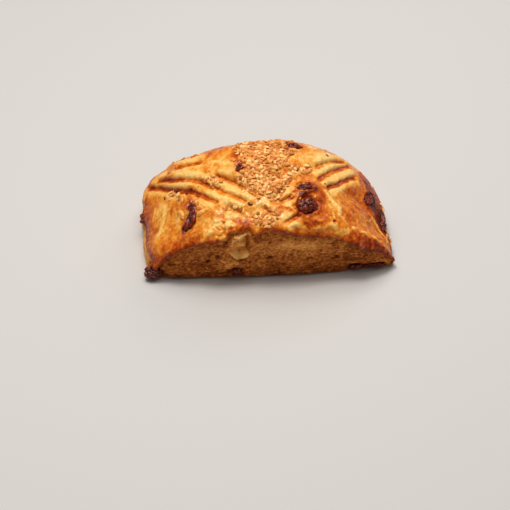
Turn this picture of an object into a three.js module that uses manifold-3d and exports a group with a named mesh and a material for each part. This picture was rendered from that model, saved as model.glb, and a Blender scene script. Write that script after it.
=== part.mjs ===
// A raisin bun, baked close to its neighbours: a long domed loaf whose front and left sides are pale
// flat faces where it pulled away from the next bun, with a fork-scored crust, a heap of sesame seeds
// on the crown and raisins that break through the skin.
// Millimetres, +Z up, front face towards -Y, origin under the middle of the bun on its flat base.

import * as THREE from 'three';
import { mergeVertices } from 'three/addons/utils/BufferGeometryUtils.js';
import Module from 'manifold-3d';

const wasm = await Module();
wasm.setup();

// ---------------------------------------------------------------- driving dimensions

// The risen dome, before the flat faces cut it. Reaches run from the crown to where it would end.
const dome = {
  crown: { x: -1.3, y: -7.6 },
  reach: { left: 65, right: 65.7, front: 46.4, back: 42.8 },
  height: 49.7,
  riseToRight: 0.06, // share of the height gained towards the right end
  sagAtEnds: 0.44, // share lost towards both ends
  riseToBack: 0.28, // share gained towards the back
  planPower: 2.36,
  profilePower: 2.33,
  corner: { front: 4.9, backLeft: 6.8, backRight: 3.6, blend: 12 },
  flare: { reach: 2.4, from: -8, over: 18 }, // front right corner, drawn out to a tip
};

const frontFace = { y: -29.2, bow: 3, halfLength: 62, lean: 0.134 };
const leftFace = { x: -63.6, bow: 3, halfDepth: 36, middleY: 6, lean: -0.09 };
const edgeRound = 5;
const footRound = 2.4;

// Where browned crust ends on the front face: its height along the face.
const crustEdge = {
  topX: 3,
  right: { height: 37, reach: 63, power: 2.2, ease: 0.8 },
  left: { height: 30, reach: 62, power: 4, ease: 0.7 },
  hump: { height: 7, width: 14 },
};

// Low forms on the skin: where they are, how far they reach and how far they stand out (mm).
const crustLip = { rise: 0.7, fade: 5 };
const cornerRoll = { from: 38, to: 66, rise: 1.3, radius: 3.2 };
const crumbTear = { x: -16.5, z: 24, halfWidth: 6.5, halfHeight: 13, depth: 2.2, strandPitch: 3.4 };
const tornFlap = { x: -13.5, z: 21.5, halfWidth: 4, halfHeight: 3, rise: 2.4 };
const brokenEdge = { x: -22, y: -29.5, radius: 7, rise: 0.9, pitch: 3.1 };
const leftBulge = { y: 9, z: 20, halfWidth: 9, halfHeight: 8, rise: 2.2 };
const seedMound = { x: 3, y: 3, halfLength: 17, halfDepth: 15, rise: 1.1 };
const waves = [
  { pitch: 31, turn: 20, rise: 0.45 },
  { pitch: 23, turn: 100, rise: 0.35 },
  { pitch: 15, turn: 65, rise: 0.2 },
];

// Fork strokes pressed into the crust, each from its front end to its back end in plan.
const stroke = { radius: 1.5, depth: 1.2, pitch: 7, fewestSteps: 3, sides: 5 };
const strokes = [
  [[-12.5, -23.2], [-21, -18.8]],
  [[-23.8, -16.5], [-34.8, -4.8], [-46, 4.8], [-59, 19]],
  [[4.6, -26.6], [-4.6, -21.6]],
  [[-9, -20.2], [-21, -11], [-31, -1], [-46, 10.6], [-54.5, 18.5]],
  [[-3, -17], [-25.5, 0.2]],
  [[-30.5, 11], [-45, 17.5]],
  [[7.4, -31], [16.6, -25.2]],
  [[5.8, -21.2], [14.4, -16.4]],
  [[1.6, -19.5], [6.4, -16], [10.8, -10]],
  [[25.5, 1.4], [44, 17]],
  [[25.5, -6.6], [38, 6.2], [46, 16]],
  [[30.2, -9.2], [37.2, -3.2], [48.8, 10]],
];

// Skin mesh: sections across the bun, each a loop of points up the front face, over the crust to
// the back foot and back under the base.
const skinMesh = { leftEnd: -62.9, rightEnd: 65.75, sections: 52, endCrowding: 0.62 };
const loopPoints = { front: 9, crust: 30, base: 4, crustCrowding: 1.15 };

const seed = { length: 3.3, width: 2.1, thickness: 1.7, sunk: 0.1, tilt: 16, taper: 0.3, sides: 6 };
const seedClearance = 2.2; // from a raisin's outline
const seedZones = [
  { at: [3, 4], reach: [18, 16], count: 84 },
  { at: [4, -13], reach: [9, 5], count: 12 },
  { at: [-3, -28.5], reach: [5, 3], count: 7 },
  { at: [-45, -1], reach: [5, 5], count: 5 },
  { at: [-27, -3], reach: [4, 4], count: 4 },
  { at: [19, 0], reach: [5, 4], count: 5 },
  { at: [59, -4], reach: [3, 12], count: 8 },
  { at: [-40, 22], reach: [14, 4], count: 4 },
];
const seedRandom = 4127;

// Raisins: middle on the skin, size along, across and deep, turn in plan, bend of its length in
// degrees and how much of the depth is sunk in the dough.
const raisinGap = 0.3;
const raisins = [
  { name: 'raisin_left', at: [-37.8, -17.4], size: [19.5, 5.6, 5.4], turn: 66, bend: 138, sunk: 0.45 },
  { name: 'raisin_right_main', at: [20, -21.6], size: [11.5, 8.6, 6.4], turn: 18, bend: 25, sunk: 0.4 },
  { name: 'raisin_right_upper', at: [19.8, -12], size: [9, 4.6, 4.4], turn: 185, bend: 75, sunk: 0.45 },
  { name: 'raisin_crown_front', at: [-12.5, -0.6], size: [6.2, 4.4, 4.4], turn: 75, bend: 20, sunk: 0.5 },
  { name: 'raisin_crown_back', at: [16, 12], size: [9.5, 4.6, 4.6], turn: -4, bend: 30, sunk: 0.5 },
  { name: 'raisin_right_high', at: [54.5, 0], size: [9, 6, 5], turn: 60, bend: 35, sunk: 0.55 },
  { name: 'raisin_right_low', at: [61, -6.5], size: [12, 5.2, 5], turn: 100, bend: 30, sunk: 0.55 },
];
// Raisins in the upright faces and at the foot: the point given is their middle.
const footRaisins = [
  { name: 'raisin_foot_corner', middle: [-58.6, -26.2, 4.6], size: [9.5, 7.5, 7.4], turn: 10, bend: 20 },
  { name: 'raisin_foot_front', middle: [-16, -28.2, 6.4], size: [6.6, 5, 5.4], turn: 15, bend: 25 },
  { name: 'raisin_foot_middle', middle: [45.5, -26.6, 3.2], size: [7, 4.4, 4.4], turn: 5, bend: 20 },
  { name: 'raisin_foot_tip', middle: [56, -25.6, 3], size: [10.5, 4.8, 4.2], turn: 8, bend: 25 },
  { name: 'raisin_left_side', middle: [-62.2, 7, 10.5], size: [5, 7.5, 6], turn: 0, bend: 15 },
];

const boxMiddle = { x: 0.66, y: 0.96 }; // middle of the finished bun's box, which becomes the origin

const raisinMesh = { rings: 7, sides: 8, wrinkles: 4, wrinkleDepth: 0.1 };

// ---------------------------------------------------------------- the dough's form

const clamp01 = (value) => Math.min(1, Math.max(0, value));
const bell = (distance, width) => Math.exp(-((distance / width) ** 2));
const radians = THREE.MathUtils.degToRad;

function smoothStep(value) {
  const t = clamp01(value);
  return t * t * (3 - 2 * t);
}

// The larger of two distances, rounded over where they meet.
function roundedMax(a, b, radius) {
  const overlap = Math.max(radius - Math.abs(a - b), 0) / radius;
  return Math.max(a, b) + overlap * overlap * radius / 4;
}

// How far out in plan a point is, 0 at the crown and 1 at the rim, and the height over it.
function domePlan(x, y) {
  const { crown, reach, corner, flare } = dome;
  const drawnOut = flare.reach * clamp01((flare.from - y) / flare.over);
  const u = (x - crown.x) / (x < crown.x ? reach.left : reach.right + drawnOut);
  const v = (y - crown.y) / (y < crown.y ? reach.front : reach.back);
  const toRight = 1 / (1 + Math.exp(-(x - crown.x) / corner.blend));
  const power = v < 0 ? corner.front : THREE.MathUtils.lerp(corner.backLeft, corner.backRight, toRight);
  const out = (Math.abs(u) ** power + Math.abs(v) ** power) ** (1 / power);
  const height = dome.height * (1 + dome.riseToRight * u - dome.sagAtEnds * u * u + dome.riseToBack * v);
  return { out, height };
}

function crustHeight(x, y) {
  const { out, height } = domePlan(x, y);
  return height * (1 - Math.min(out, 1) ** dome.planPower) ** (1 / dome.profilePower);
}

function domeShare(point) {
  const { out, height } = domePlan(point.x, point.y);
  const up = Math.max(point.z, 0) / height;
  return (out ** dome.planPower + up ** dome.profilePower) ** (1 / dome.profilePower) - 1;
}

function gradient(distance, point) {
  const step = 0.05;
  const here = distance(point);
  return new THREE.Vector3(
    distance(point.clone().setX(point.x + step)) - here,
    distance(point.clone().setY(point.y + step)) - here,
    distance(point.clone().setZ(point.z + step)) - here,
  ).divideScalar(step);
}

function domeDistance(point) {
  return domeShare(point) / (gradient(domeShare, point).length() + 1e-4);
}

function frontFaceY(x, z) {
  return frontFace.y + frontFace.bow * (x / frontFace.halfLength) ** 2 - frontFace.lean * z;
}

function leftFaceX(y, z) {
  return leftFace.x + leftFace.bow * ((y - leftFace.middleY) / leftFace.halfDepth) ** 2 - leftFace.lean * z;
}

// Distance out of the bun's smooth form, negative inside.
function doughDistance(point) {
  let distance = domeDistance(point);
  distance = roundedMax(distance, frontFaceY(point.x, point.z) - point.y, edgeRound);
  distance = roundedMax(distance, leftFaceX(point.y, point.z) - point.x, edgeRound);
  return roundedMax(distance, -point.z, footRound);
}

function crustEdgeHeight(x) {
  const { topX, right, left, hump } = crustEdge;
  const side = x > topX ? right : left;
  const along = Math.min(Math.abs(x - topX) / side.reach, 1);
  const height = side.height * (1 - along ** side.power) ** side.ease;
  return x > topX ? height : height + hump.height * bell(x - topX, hump.width);
}

// ---------------------------------------------------------------- low relief on the skin

function frontRelief(point) {
  const edge = crustEdgeHeight(point.x);
  const aboveEdge = point.z - edge;
  let rise = crustLip.rise * smoothStep(aboveEdge / 1.5) * (1 - smoothStep(aboveEdge / crustLip.fade - 0.3));

  const onRoll = smoothStep((point.x - cornerRoll.from) / 8) * (1 - smoothStep((point.x - cornerRoll.to) / 2));
  rise += onRoll * cornerRoll.rise * bell(aboveEdge - 1.5, cornerRoll.radius);

  const tear = bell(point.x - crumbTear.x, crumbTear.halfWidth) * bell(point.z - crumbTear.z, crumbTear.halfHeight);
  const strand = Math.cos((point.x + 0.35 * point.z) * 2 * Math.PI / crumbTear.strandPitch);
  rise -= crumbTear.depth * tear * (0.75 + 0.25 * strand);

  const flap = bell(point.x - tornFlap.x, tornFlap.halfWidth) * bell(point.z - tornFlap.z, tornFlap.halfHeight);
  return rise + tornFlap.rise * flap;
}

function topRelief(point) {
  let rise = seedMound.rise * bell(
    Math.hypot((point.x - seedMound.x) / seedMound.halfLength, (point.y - seedMound.y) / seedMound.halfDepth),
    1,
  );
  const broken = bell(Math.hypot(point.x - brokenEdge.x, point.y - brokenEdge.y), brokenEdge.radius);
  const crumble = Math.sin(point.x * 2 * Math.PI / brokenEdge.pitch) * Math.sin(point.z * 2 * Math.PI / brokenEdge.pitch);
  rise += brokenEdge.rise * broken * crumble;
  return rise;
}

function skinRelief(point, normal) {
  let rise = 0;
  for (const wave of waves) {
    const turn = radians(wave.turn);
    const along = point.x * Math.cos(turn) + (point.y + point.z) * Math.sin(turn);
    rise += wave.rise * Math.sin(along * 2 * Math.PI / wave.pitch);
  }
  rise += topRelief(point) * clamp01(normal.z * 2);
  rise += frontRelief(point) * smoothStep(-normal.y * 1.6 - 0.1);
  const bulge = bell(point.y - leftBulge.y, leftBulge.halfWidth) * bell(point.z - leftBulge.z, leftBulge.halfHeight);
  rise += leftBulge.rise * bulge * smoothStep(-normal.x * 1.4);
  return rise * smoothStep(point.z / 5); // the foot and the flat base stay true
}

// ---------------------------------------------------------------- skin mesh

// The point of a section that lies deepest in the dough.
function sectionHeart(x) {
  const spacing = 1.5;
  let heart = new THREE.Vector3(x, 0, 0);
  let deepest = Infinity;
  for (let y = -33; y < 36; y += spacing) {
    for (let z = spacing; z < 24; z += spacing) {
      const point = new THREE.Vector3(x, y, z);
      const distance = doughDistance(point);
      if (distance < deepest) {
        deepest = distance;
        heart = point;
      }
    }
  }
  return heart;
}

function hitSkin(heart, direction) {
  let inside = 0;
  let outside = 110;
  for (let step = 0; step < 26; step++) {
    const middle = (inside + outside) / 2;
    if (doughDistance(heart.clone().addScaledVector(direction, middle)) < 0) inside = middle;
    else outside = middle;
  }
  return heart.clone().addScaledVector(direction, inside);
}

// Points along a run of a section, evenly spaced by length or crowded towards its start.
function spread(run, count, crowding) {
  const travelled = [0];
  for (let index = 1; index < run.length; index++) {
    travelled.push(travelled[index - 1] + run[index].distanceTo(run[index - 1]));
  }
  const total = travelled[run.length - 1];
  const points = [];
  let index = 1;
  for (let step = 0; step < count; step++) {
    const target = (step / count) ** crowding * total;
    while (travelled[index] < target) index++;
    const share = (target - travelled[index - 1]) / (travelled[index] - travelled[index - 1]);
    points.push(run[index - 1].clone().lerp(run[index], share));
  }
  return points;
}

function sectionLoop(x) {
  const heart = sectionHeart(x);
  const rays = 300;
  const onBase = 0.02;
  const raw = [];
  for (let ray = 0; ray < rays; ray++) {
    const angle = -Math.PI / 2 - ray / rays * 2 * Math.PI;
    raw.push(hitSkin(heart, new THREE.Vector3(0, Math.cos(angle), Math.sin(angle))));
  }
  const frontFoot = raw.findIndex((point) => point.z > onBase);
  const backFoot = raw.findLastIndex((point) => point.z > onBase);
  const top = raw.reduce((best, point, index) => (point.z > raw[best].z ? index : best), frontFoot);
  const rise = raw[top].z - raw[frontFoot].z;
  const edgeShare = (crustEdgeHeight(x) + edgeRound / 2 - raw[frontFoot].z) / rise;
  const edgeHeight = raw[frontFoot].z + rise * THREE.MathUtils.clamp(edgeShare, 0.3, 0.8);
  const edge = raw.findIndex((point) => point.z > edgeHeight);
  const loop = [
    ...spread(raw.slice(frontFoot, edge + 1), loopPoints.front, 1),
    ...spread(raw.slice(edge, backFoot + 1), loopPoints.crust, loopPoints.crustCrowding),
    ...spread([raw[backFoot], raw[frontFoot]], loopPoints.base, 1),
  ];
  return { heart, loop };
}

function raised(point) {
  const normal = gradient(doughDistance, point).normalize();
  const moved = point.clone().addScaledVector(normal, skinRelief(point, normal));
  const nearBase = 0.05;
  if (moved.z < nearBase) moved.z = 0;
  return moved;
}

function indexedGeometry(points, triangles) {
  const geometry = new THREE.BufferGeometry();
  geometry.setAttribute('position', new THREE.Float32BufferAttribute(points.flatMap((p) => [p.x, p.y, p.z]), 3));
  geometry.setIndex(triangles);
  return geometry;
}

function doughGeometry() {
  const count = loopPoints.front + loopPoints.crust + loopPoints.base;
  const points = [];
  const triangles = [];
  const middle = (skinMesh.leftEnd + skinMesh.rightEnd) / 2;
  const half = (skinMesh.rightEnd - skinMesh.leftEnd) / 2;
  const hearts = [];
  for (let section = 0; section < skinMesh.sections; section++) {
    const s = section / (skinMesh.sections - 1) * 2 - 1;
    const crowded = THREE.MathUtils.lerp(s, Math.sin(s * Math.PI / 2), skinMesh.endCrowding);
    const { heart, loop } = sectionLoop(middle + half * crowded);
    hearts.push(heart);
    points.push(...loop.map(raised));
  }
  const lastLoop = (skinMesh.sections - 1) * count;
  const leftPole = points.push(hearts[0]) - 1;
  const rightPole = points.push(hearts[skinMesh.sections - 1]) - 1;
  for (let index = 0; index < count; index++) {
    const next = (index + 1) % count;
    triangles.push(leftPole, index, next);
    triangles.push(rightPole, lastLoop + next, lastLoop + index);
    for (let first = count; first <= lastLoop; first += count) {
      const before = first - count;
      triangles.push(before + index, first + index, first + next);
      triangles.push(before + index, first + next, before + next);
    }
  }
  return indexedGeometry(points, triangles);
}

// ---------------------------------------------------------------- solids

function toSolid(geometry) {
  const bare = geometry.clone();
  bare.deleteAttribute('normal');
  bare.deleteAttribute('uv');
  const merged = mergeVertices(bare, 1e-5);
  return new wasm.Manifold(new wasm.Mesh({
    numProp: 3,
    vertProperties: new Float32Array(merged.attributes.position.array),
    triVerts: new Uint32Array(merged.index.array),
  }));
}

function toGeometry(solid) {
  const { vertProperties, triVerts } = solid.getMesh();
  const geometry = new THREE.BufferGeometry();
  geometry.setAttribute('position', new THREE.BufferAttribute(new Float32Array(vertProperties), 3));
  geometry.setIndex(new THREE.BufferAttribute(new Uint32Array(triVerts), 1));
  geometry.computeVertexNormals();
  return geometry;
}

// A body that bends and swells along its length, from rings of points between two poles.
function ringBody(frames, sides) {
  const points = [];
  const triangles = [];
  for (const frame of frames) {
    for (let side = 0; side < sides; side++) {
      points.push(frame(side / sides * 2 * Math.PI));
    }
  }
  const average = (ring) => points.slice(ring * sides, (ring + 1) * sides)
    .reduce((sum, point) => sum.add(point), new THREE.Vector3()).divideScalar(sides);
  const last = frames.length - 1;
  const start = points.push(average(0)) - 1;
  const finish = points.push(average(last)) - 1;
  for (let side = 0; side < sides; side++) {
    const next = (side + 1) % sides;
    triangles.push(start, next, side);
    triangles.push(finish, last * sides + side, last * sides + next);
    for (let ring = 0; ring < last; ring++) {
      const a = ring * sides;
      const b = a + sides;
      triangles.push(a + side, a + next, b + next);
      triangles.push(a + side, b + next, b + side);
    }
  }
  return indexedGeometry(points, triangles);
}

// ---------------------------------------------------------------- fork strokes

function skinPoint(x, y) {
  return new THREE.Vector3(x, y, crustHeight(x, y));
}

function skinNormal(point) {
  return gradient(doughDistance, point).normalize();
}

function strokeCutter(line) {
  const path = new THREE.CatmullRomCurve3(line.map(([x, y]) => new THREE.Vector3(x, y, 0)));
  const steps = Math.max(stroke.fewestSteps, Math.round(path.getLength() / stroke.pitch));
  const frames = [];
  for (let step = 0; step <= steps; step++) {
    const t = step / steps;
    const { x, y } = path.getPointAt(t);
    const point = skinPoint(x, y);
    const normal = skinNormal(point);
    const across = new THREE.Vector3().crossVectors(normal, path.getTangentAt(t)).normalize();
    const fullness = Math.sin(Math.PI * (0.06 + 0.88 * t)) ** 0.4;
    const radius = stroke.radius * fullness;
    const middle = point.addScaledVector(normal, stroke.radius - stroke.depth * fullness);
    frames.push((angle) => middle.clone()
      .addScaledVector(across, Math.cos(angle) * radius)
      .addScaledVector(normal, Math.sin(angle) * radius));
  }
  return toSolid(ringBody(frames, stroke.sides));
}

// ---------------------------------------------------------------- raisins

function raisinGeometry({ size, bend, name }, grow) {
  const [length, width, depth] = size.map((side) => side + 2 * grow);
  const twist = name.length; // a different set of wrinkles for each name
  const arc = radians(bend);
  const frames = [];
  for (let ring = 0; ring < raisinMesh.rings; ring++) {
    const t = (ring + 0.5) / raisinMesh.rings * 2 - 1;
    const round = Math.sqrt(1 - t * t);
    const turn = arc * t / 2;
    const radius = arc > 0 ? length / arc : 1;
    const x = arc > 0 ? radius * Math.sin(turn) : length / 2 * t;
    const y = arc > 0 ? radius * (1 - Math.cos(turn)) : 0;
    frames.push((angle) => {
      const fold = 1 - raisinMesh.wrinkleDepth * Math.cos(raisinMesh.wrinkles * angle + twist + 2 * t);
      const across = width / 2 * round * fold * Math.cos(angle);
      const up = depth / 2 * round * fold * Math.sin(angle);
      return new THREE.Vector3(x - Math.sin(turn) * across, y + Math.cos(turn) * across, up);
    });
  }
  const geometry = ringBody(frames, raisinMesh.sides);
  geometry.computeBoundingBox();
  const centre = geometry.boundingBox.getCenter(new THREE.Vector3());
  return geometry.translate(-centre.x, -centre.y, 0);
}

// Where a raisin lies: turned in plan, its back to the skin where it sits on one.
function raisinPlace(raisin) {
  const turned = new THREE.Quaternion().setFromAxisAngle(new THREE.Vector3(0, 0, 1), radians(raisin.turn));
  if (raisin.middle) {
    return { middle: new THREE.Vector3(...raisin.middle), rotation: turned };
  }
  const point = skinPoint(...raisin.at);
  const normal = skinNormal(point);
  const tipped = new THREE.Quaternion().setFromUnitVectors(new THREE.Vector3(0, 0, 1), normal);
  const raise = raisin.size[2] * (0.5 - raisin.sunk) + skinRelief(point, normal);
  return { middle: point.addScaledVector(normal, raise), rotation: tipped.multiply(turned) };
}

function placedRaisin(raisin, grow) {
  const { middle, rotation } = raisinPlace(raisin);
  return raisinGeometry(raisin, grow).applyQuaternion(rotation).translate(middle.x, middle.y, middle.z);
}

// ---------------------------------------------------------------- sesame seeds

function randomSource(start) {
  let state = start;
  return () => {
    state = (state * 1664525 + 1013904223) % 4294967296;
    return state / 4294967296;
  };
}

function seedGeometry() {
  const geometry = new THREE.SphereGeometry(1, seed.sides, 2).rotateX(Math.PI / 2);
  const position = geometry.attributes.position;
  for (let index = 0; index < position.count; index++) {
    const narrowed = 1 - seed.taper * position.getX(index);
    position.setY(index, position.getY(index) * narrowed);
  }
  return geometry.scale(seed.length / 2, seed.width / 2, seed.thickness / 2);
}

function nearRaisin(point, places) {
  return places.some(({ middle, size }) => middle.distanceTo(point) < Math.max(...size) / 2 + seedClearance);
}

function seedSolids() {
  const random = randomSource(seedRandom);
  const places = [...raisins, ...footRaisins].map((raisin) => ({ ...raisinPlace(raisin), size: raisin.size }));
  const shape = seedGeometry();
  const solids = [];
  for (const zone of seedZones) {
    for (let count = 0; count < zone.count; count++) {
      const angle = random() * 2 * Math.PI;
      const out = Math.sqrt(random());
      const yaw = random() * 2 * Math.PI;
      const tilt = new THREE.Euler(radians(seed.tilt * (random() - 0.5)), radians(seed.tilt * (random() - 0.5)), yaw);
      const x = zone.at[0] + zone.reach[0] * out * Math.cos(angle);
      const y = zone.at[1] + zone.reach[1] * out * Math.sin(angle);
      const point = skinPoint(x, y);
      if (nearRaisin(point, places)) continue;
      const normal = skinNormal(point);
      const rise = skinRelief(point, normal) - seed.sunk;
      const rotation = new THREE.Quaternion().setFromUnitVectors(new THREE.Vector3(0, 0, 1), normal)
        .multiply(new THREE.Quaternion().setFromEuler(tilt));
      const middle = point.addScaledVector(normal, rise);
      solids.push(toSolid(shape.clone().applyQuaternion(rotation).translate(middle.x, middle.y, middle.z)));
    }
  }
  return solids;
}

// ---------------------------------------------------------------- the bun

// The largest body of a solid: drops loose scraps and fills hollows sealed by joining.
function largestBody(solid) {
  const bodies = solid.decompose();
  return bodies.reduce((best, body) => (body.volume() > best.volume() ? body : best));
}

function bunGeometry() {
  let solid = toSolid(doughGeometry());
  for (const line of strokes) solid = solid.subtract(strokeCutter(line));
  for (const grain of seedSolids()) solid = solid.add(grain);
  for (const raisin of [...raisins, ...footRaisins]) {
    solid = solid.subtract(toSolid(placedRaisin(raisin, raisinGap)));
  }
  return toGeometry(largestBody(solid));
}

const crust = new THREE.MeshStandardMaterial({ color: 0xc9873a, roughness: 0.5, metalness: 0 });

function raisinMaterial() {
  return new THREE.MeshStandardMaterial({ color: 0x2c1512, roughness: 0.35, metalness: 0 });
}

function namedMesh(name, geometry, material) {
  const piece = new THREE.Mesh(geometry, material);
  piece.name = name;
  return piece;
}

const raisinBun = new THREE.Group();
raisinBun.position.set(-boxMiddle.x, -boxMiddle.y, 0);
raisinBun.add(namedMesh('bun', bunGeometry(), crust));
for (const raisin of [...raisins, ...footRaisins]) {
  raisinBun.add(namedMesh(raisin.name, placedRaisin(raisin, 0), raisinMaterial()));
}

export default raisinBun;
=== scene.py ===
import math
import bmesh
import bpy
import numpy as np
from mathutils import Matrix, Vector


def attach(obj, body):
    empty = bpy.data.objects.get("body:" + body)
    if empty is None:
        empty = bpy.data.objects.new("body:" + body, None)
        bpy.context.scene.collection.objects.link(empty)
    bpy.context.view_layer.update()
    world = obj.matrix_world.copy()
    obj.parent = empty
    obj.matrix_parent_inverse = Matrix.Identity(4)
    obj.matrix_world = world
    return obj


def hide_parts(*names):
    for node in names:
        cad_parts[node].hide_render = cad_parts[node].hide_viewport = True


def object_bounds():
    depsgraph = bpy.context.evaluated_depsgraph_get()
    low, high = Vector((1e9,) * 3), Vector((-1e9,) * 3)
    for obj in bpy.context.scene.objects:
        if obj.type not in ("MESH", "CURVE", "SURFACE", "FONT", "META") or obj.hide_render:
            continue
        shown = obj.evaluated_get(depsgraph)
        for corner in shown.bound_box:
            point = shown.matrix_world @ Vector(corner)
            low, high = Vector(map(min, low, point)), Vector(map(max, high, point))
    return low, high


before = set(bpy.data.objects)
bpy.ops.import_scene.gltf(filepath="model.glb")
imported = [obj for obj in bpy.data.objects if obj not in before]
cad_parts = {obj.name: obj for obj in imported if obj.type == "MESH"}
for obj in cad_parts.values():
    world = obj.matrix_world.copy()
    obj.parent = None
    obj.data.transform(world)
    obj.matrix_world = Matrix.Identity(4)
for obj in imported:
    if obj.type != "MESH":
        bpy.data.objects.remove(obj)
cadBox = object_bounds()
mm = 0.001

# the bun's form in mm, front face towards -Y: a risen dome, cut by a pale front face and left face
bunForm = {
    "crownX": -1.3, "crownY": -7.6,
    "reachLeft": 65, "reachRight": 65.7, "reachFront": 46.4, "reachBack": 42.8,
    "height": 49.7,
    "riseToRight": 0.06, "sagAtEnds": 0.44, "riseToBack": 0.28,
    "planPower": 2.36, "profilePower": 2.33,
    "cornerFront": 4.9, "cornerBackLeft": 6.8, "cornerBackRight": 3.6, "cornerBlend": 12,
    "flareReach": 2.4, "flareFrom": -8, "flareOver": 18,  # front right corner, drawn out to a tip
    "frontY": -29.2, "frontBow": 3, "frontHalf": 62, "frontLean": 0.134,
    "leftX": -63.6, "leftBow": 3, "leftHalf": 36, "leftMiddle": 6, "leftLean": 0.09,
    "edgeRound": 5, "footRound": 2.4,
    "middle": (0.66, 0.96, 0),  # middle of the bun's box, which is the frame's origin
}

crustEdge = {  # where browned crust ends on the front face, an arch to each side of its top
    "topX": 3,
    "right": {"height": 32, "reach": 64, "power": 2.6, "ease": 0.8, "hump": 4, "humpWidth": 7},
    "left": {"height": 30, "reach": 62, "power": 4, "ease": 0.7, "hump": 6, "humpWidth": 14},
    "sag": 2.6, "sagAt": (48.5, 5),  # where the crust hangs lower over the face
    "notch": 4.4, "notchFrom": (-22, 3.4), "notchTo": (6.1, 3.4),  # where it broke away, from each side
    "ragged": [((6, 30, 30), 0.9, 21), ((1.9, 20, 20), 0.6, 22)],  # noise: pitch, amount, seed
}


def smoothStep(value):
    t = np.clip(value, 0, 1)
    return t * t * (3 - 2 * t)


def ramp(value, start, over):  # from 0 at the start to 1 after it
    return smoothStep((value - start) / over)


def near(value, middle, width):
    return bell(value - middle, width)


def bell(distance, width):
    return np.exp(-(distance / width) ** 2)


def roundedMax(a, b, radius):  # the larger of two distances, rounded where they meet
    overlap = np.maximum(radius - np.abs(a - b), 0) / radius
    return np.maximum(a, b) + overlap * overlap * radius / 4


def domePlan(x, y):  # how far out a point is in plan, and the dome's height scale there
    f = bunForm
    drawnOut = f["flareReach"] * np.clip((f["flareFrom"] - y) / f["flareOver"], 0, 1)
    u = (x - f["crownX"]) / np.where(x < f["crownX"], f["reachLeft"], f["reachRight"] + drawnOut)
    v = (y - f["crownY"]) / np.where(y < f["crownY"], f["reachFront"], f["reachBack"])
    toRight = 1 / (1 + np.exp(-(x - f["crownX"]) / f["cornerBlend"]))
    backPower = f["cornerBackLeft"] + (f["cornerBackRight"] - f["cornerBackLeft"]) * toRight
    power = np.where(v < 0, f["cornerFront"], backPower)
    out = (np.abs(u) ** power + np.abs(v) ** power + 1e-12) ** (1 / power)
    height = f["height"] * (1 + f["riseToRight"] * u - f["sagAtEnds"] * u * u + f["riseToBack"] * v)
    return out, height


def crustHeight(x, y):
    out, height = domePlan(x, y)
    left = 1 - np.minimum(out, 1) ** bunForm["planPower"]
    return height * left ** (1 / bunForm["profilePower"])


def domeShare(p):
    out, height = domePlan(p[..., 0], p[..., 1])
    up = np.maximum(p[..., 2], 0) / height
    share = out ** bunForm["planPower"] + up ** bunForm["profilePower"]
    return share ** (1 / bunForm["profilePower"]) - 1


def gradientOf(distance, p):
    step = 0.05
    here = distance(p)
    return np.stack([(distance(p + step * axis) - here) / step for axis in np.eye(3)], -1)


def doughDistance(p):  # out of the bun's smooth form, negative inside
    f = bunForm
    x, y, z = p[..., 0], p[..., 1], p[..., 2]
    slope = np.linalg.norm(gradientOf(domeShare, p), axis=-1) + 1e-4
    distance = domeShare(p) / slope
    front = f["frontY"] + f["frontBow"] * (x / f["frontHalf"]) ** 2 - f["frontLean"] * z
    left = f["leftX"] + f["leftBow"] * ((y - f["leftMiddle"]) / f["leftHalf"]) ** 2 + f["leftLean"] * z
    distance = roundedMax(distance, front - y, f["edgeRound"])
    distance = roundedMax(distance, left - x, f["edgeRound"])
    return roundedMax(distance, -z, f["footRound"])


def skinNormals(p):
    slope = gradientOf(doughDistance, p)
    return slope / np.linalg.norm(slope, axis=-1, keepdims=True)


def crustEdgeHeight(x):
    e = crustEdge
    fromTop = np.abs(x - e["topX"])

    def arch(side):
        share = np.minimum(fromTop / side["reach"], 1)
        height = side["height"] * (1 - share ** side["power"]) ** side["ease"]
        return height + side["hump"] * bell(fromTop, side["humpWidth"])

    sag = e["sag"] * near(x, *e["sagAt"])
    return np.where(x > e["topX"], arch(e["right"]) - sag, arch(e["left"]))


def noiseAt(p, pitch, seed):  # smooth noise from -1 to 1; pitch in mm, one number or one for each axis
    cells = 32
    table = np.random.default_rng(seed).random((cells, cells, cells)) * 2 - 1
    q = p / np.asarray(pitch, float) + 7.3
    low = np.floor(q).astype(int)
    t = q - low
    t = t * t * (3 - 2 * t)
    total = 0
    for corner in np.ndindex(2, 2, 2):
        weight = np.prod(np.where(np.array(corner) == 1, t, 1 - t), axis=-1)
        i, j, k = ((low + corner) % cells).T
        total = total + weight * table[i, j, k]
    return total


def layered(p, rows):  # noise in layers; a row is a pitch, an amount and a seed
    return sum(amount * noiseAt(p, pitch, seed) for pitch, amount, seed in rows)


def creasesAt(p, pitch, seed):  # sharp-crested noise from 0 to 1
    return 1 - np.abs(noiseAt(p, pitch, seed))


def cellsAt(p, pitch, seed):  # distance to the nearest of scattered points, and how much farther the next
    cells = 24
    jitter = np.random.default_rng(seed).random((cells, cells, cells, 3))
    q = p / np.asarray(pitch, float) + 5.1
    low = np.floor(q).astype(int)
    nearest = np.full(len(p), 9.0)
    second = np.full(len(p), 9.0)
    for shift in np.ndindex(3, 3, 3):
        cell = low + np.array(shift) - 1
        i, j, k = (cell % cells).T
        distance = np.linalg.norm(cell + jitter[i, j, k] - q, axis=1)
        second = np.minimum(second, np.maximum(nearest, distance))
        nearest = np.minimum(nearest, distance)
    return nearest, second - nearest


# the skin as rings of points: sections across the bun, each up the front, over the crust and back under
doughSkin = {
    "leftEnd": -62.9, "rightEnd": 65.75,
    "step": 0.5, "endStep": 0.05, "endGrowth": 0.13,
    "frontPoints": 78, "crustPoints": 190, "basePoints": 34, "crustCrowding": 1.12,
    "rays": 420, "farthest": 110, "halvings": 22,
}


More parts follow.
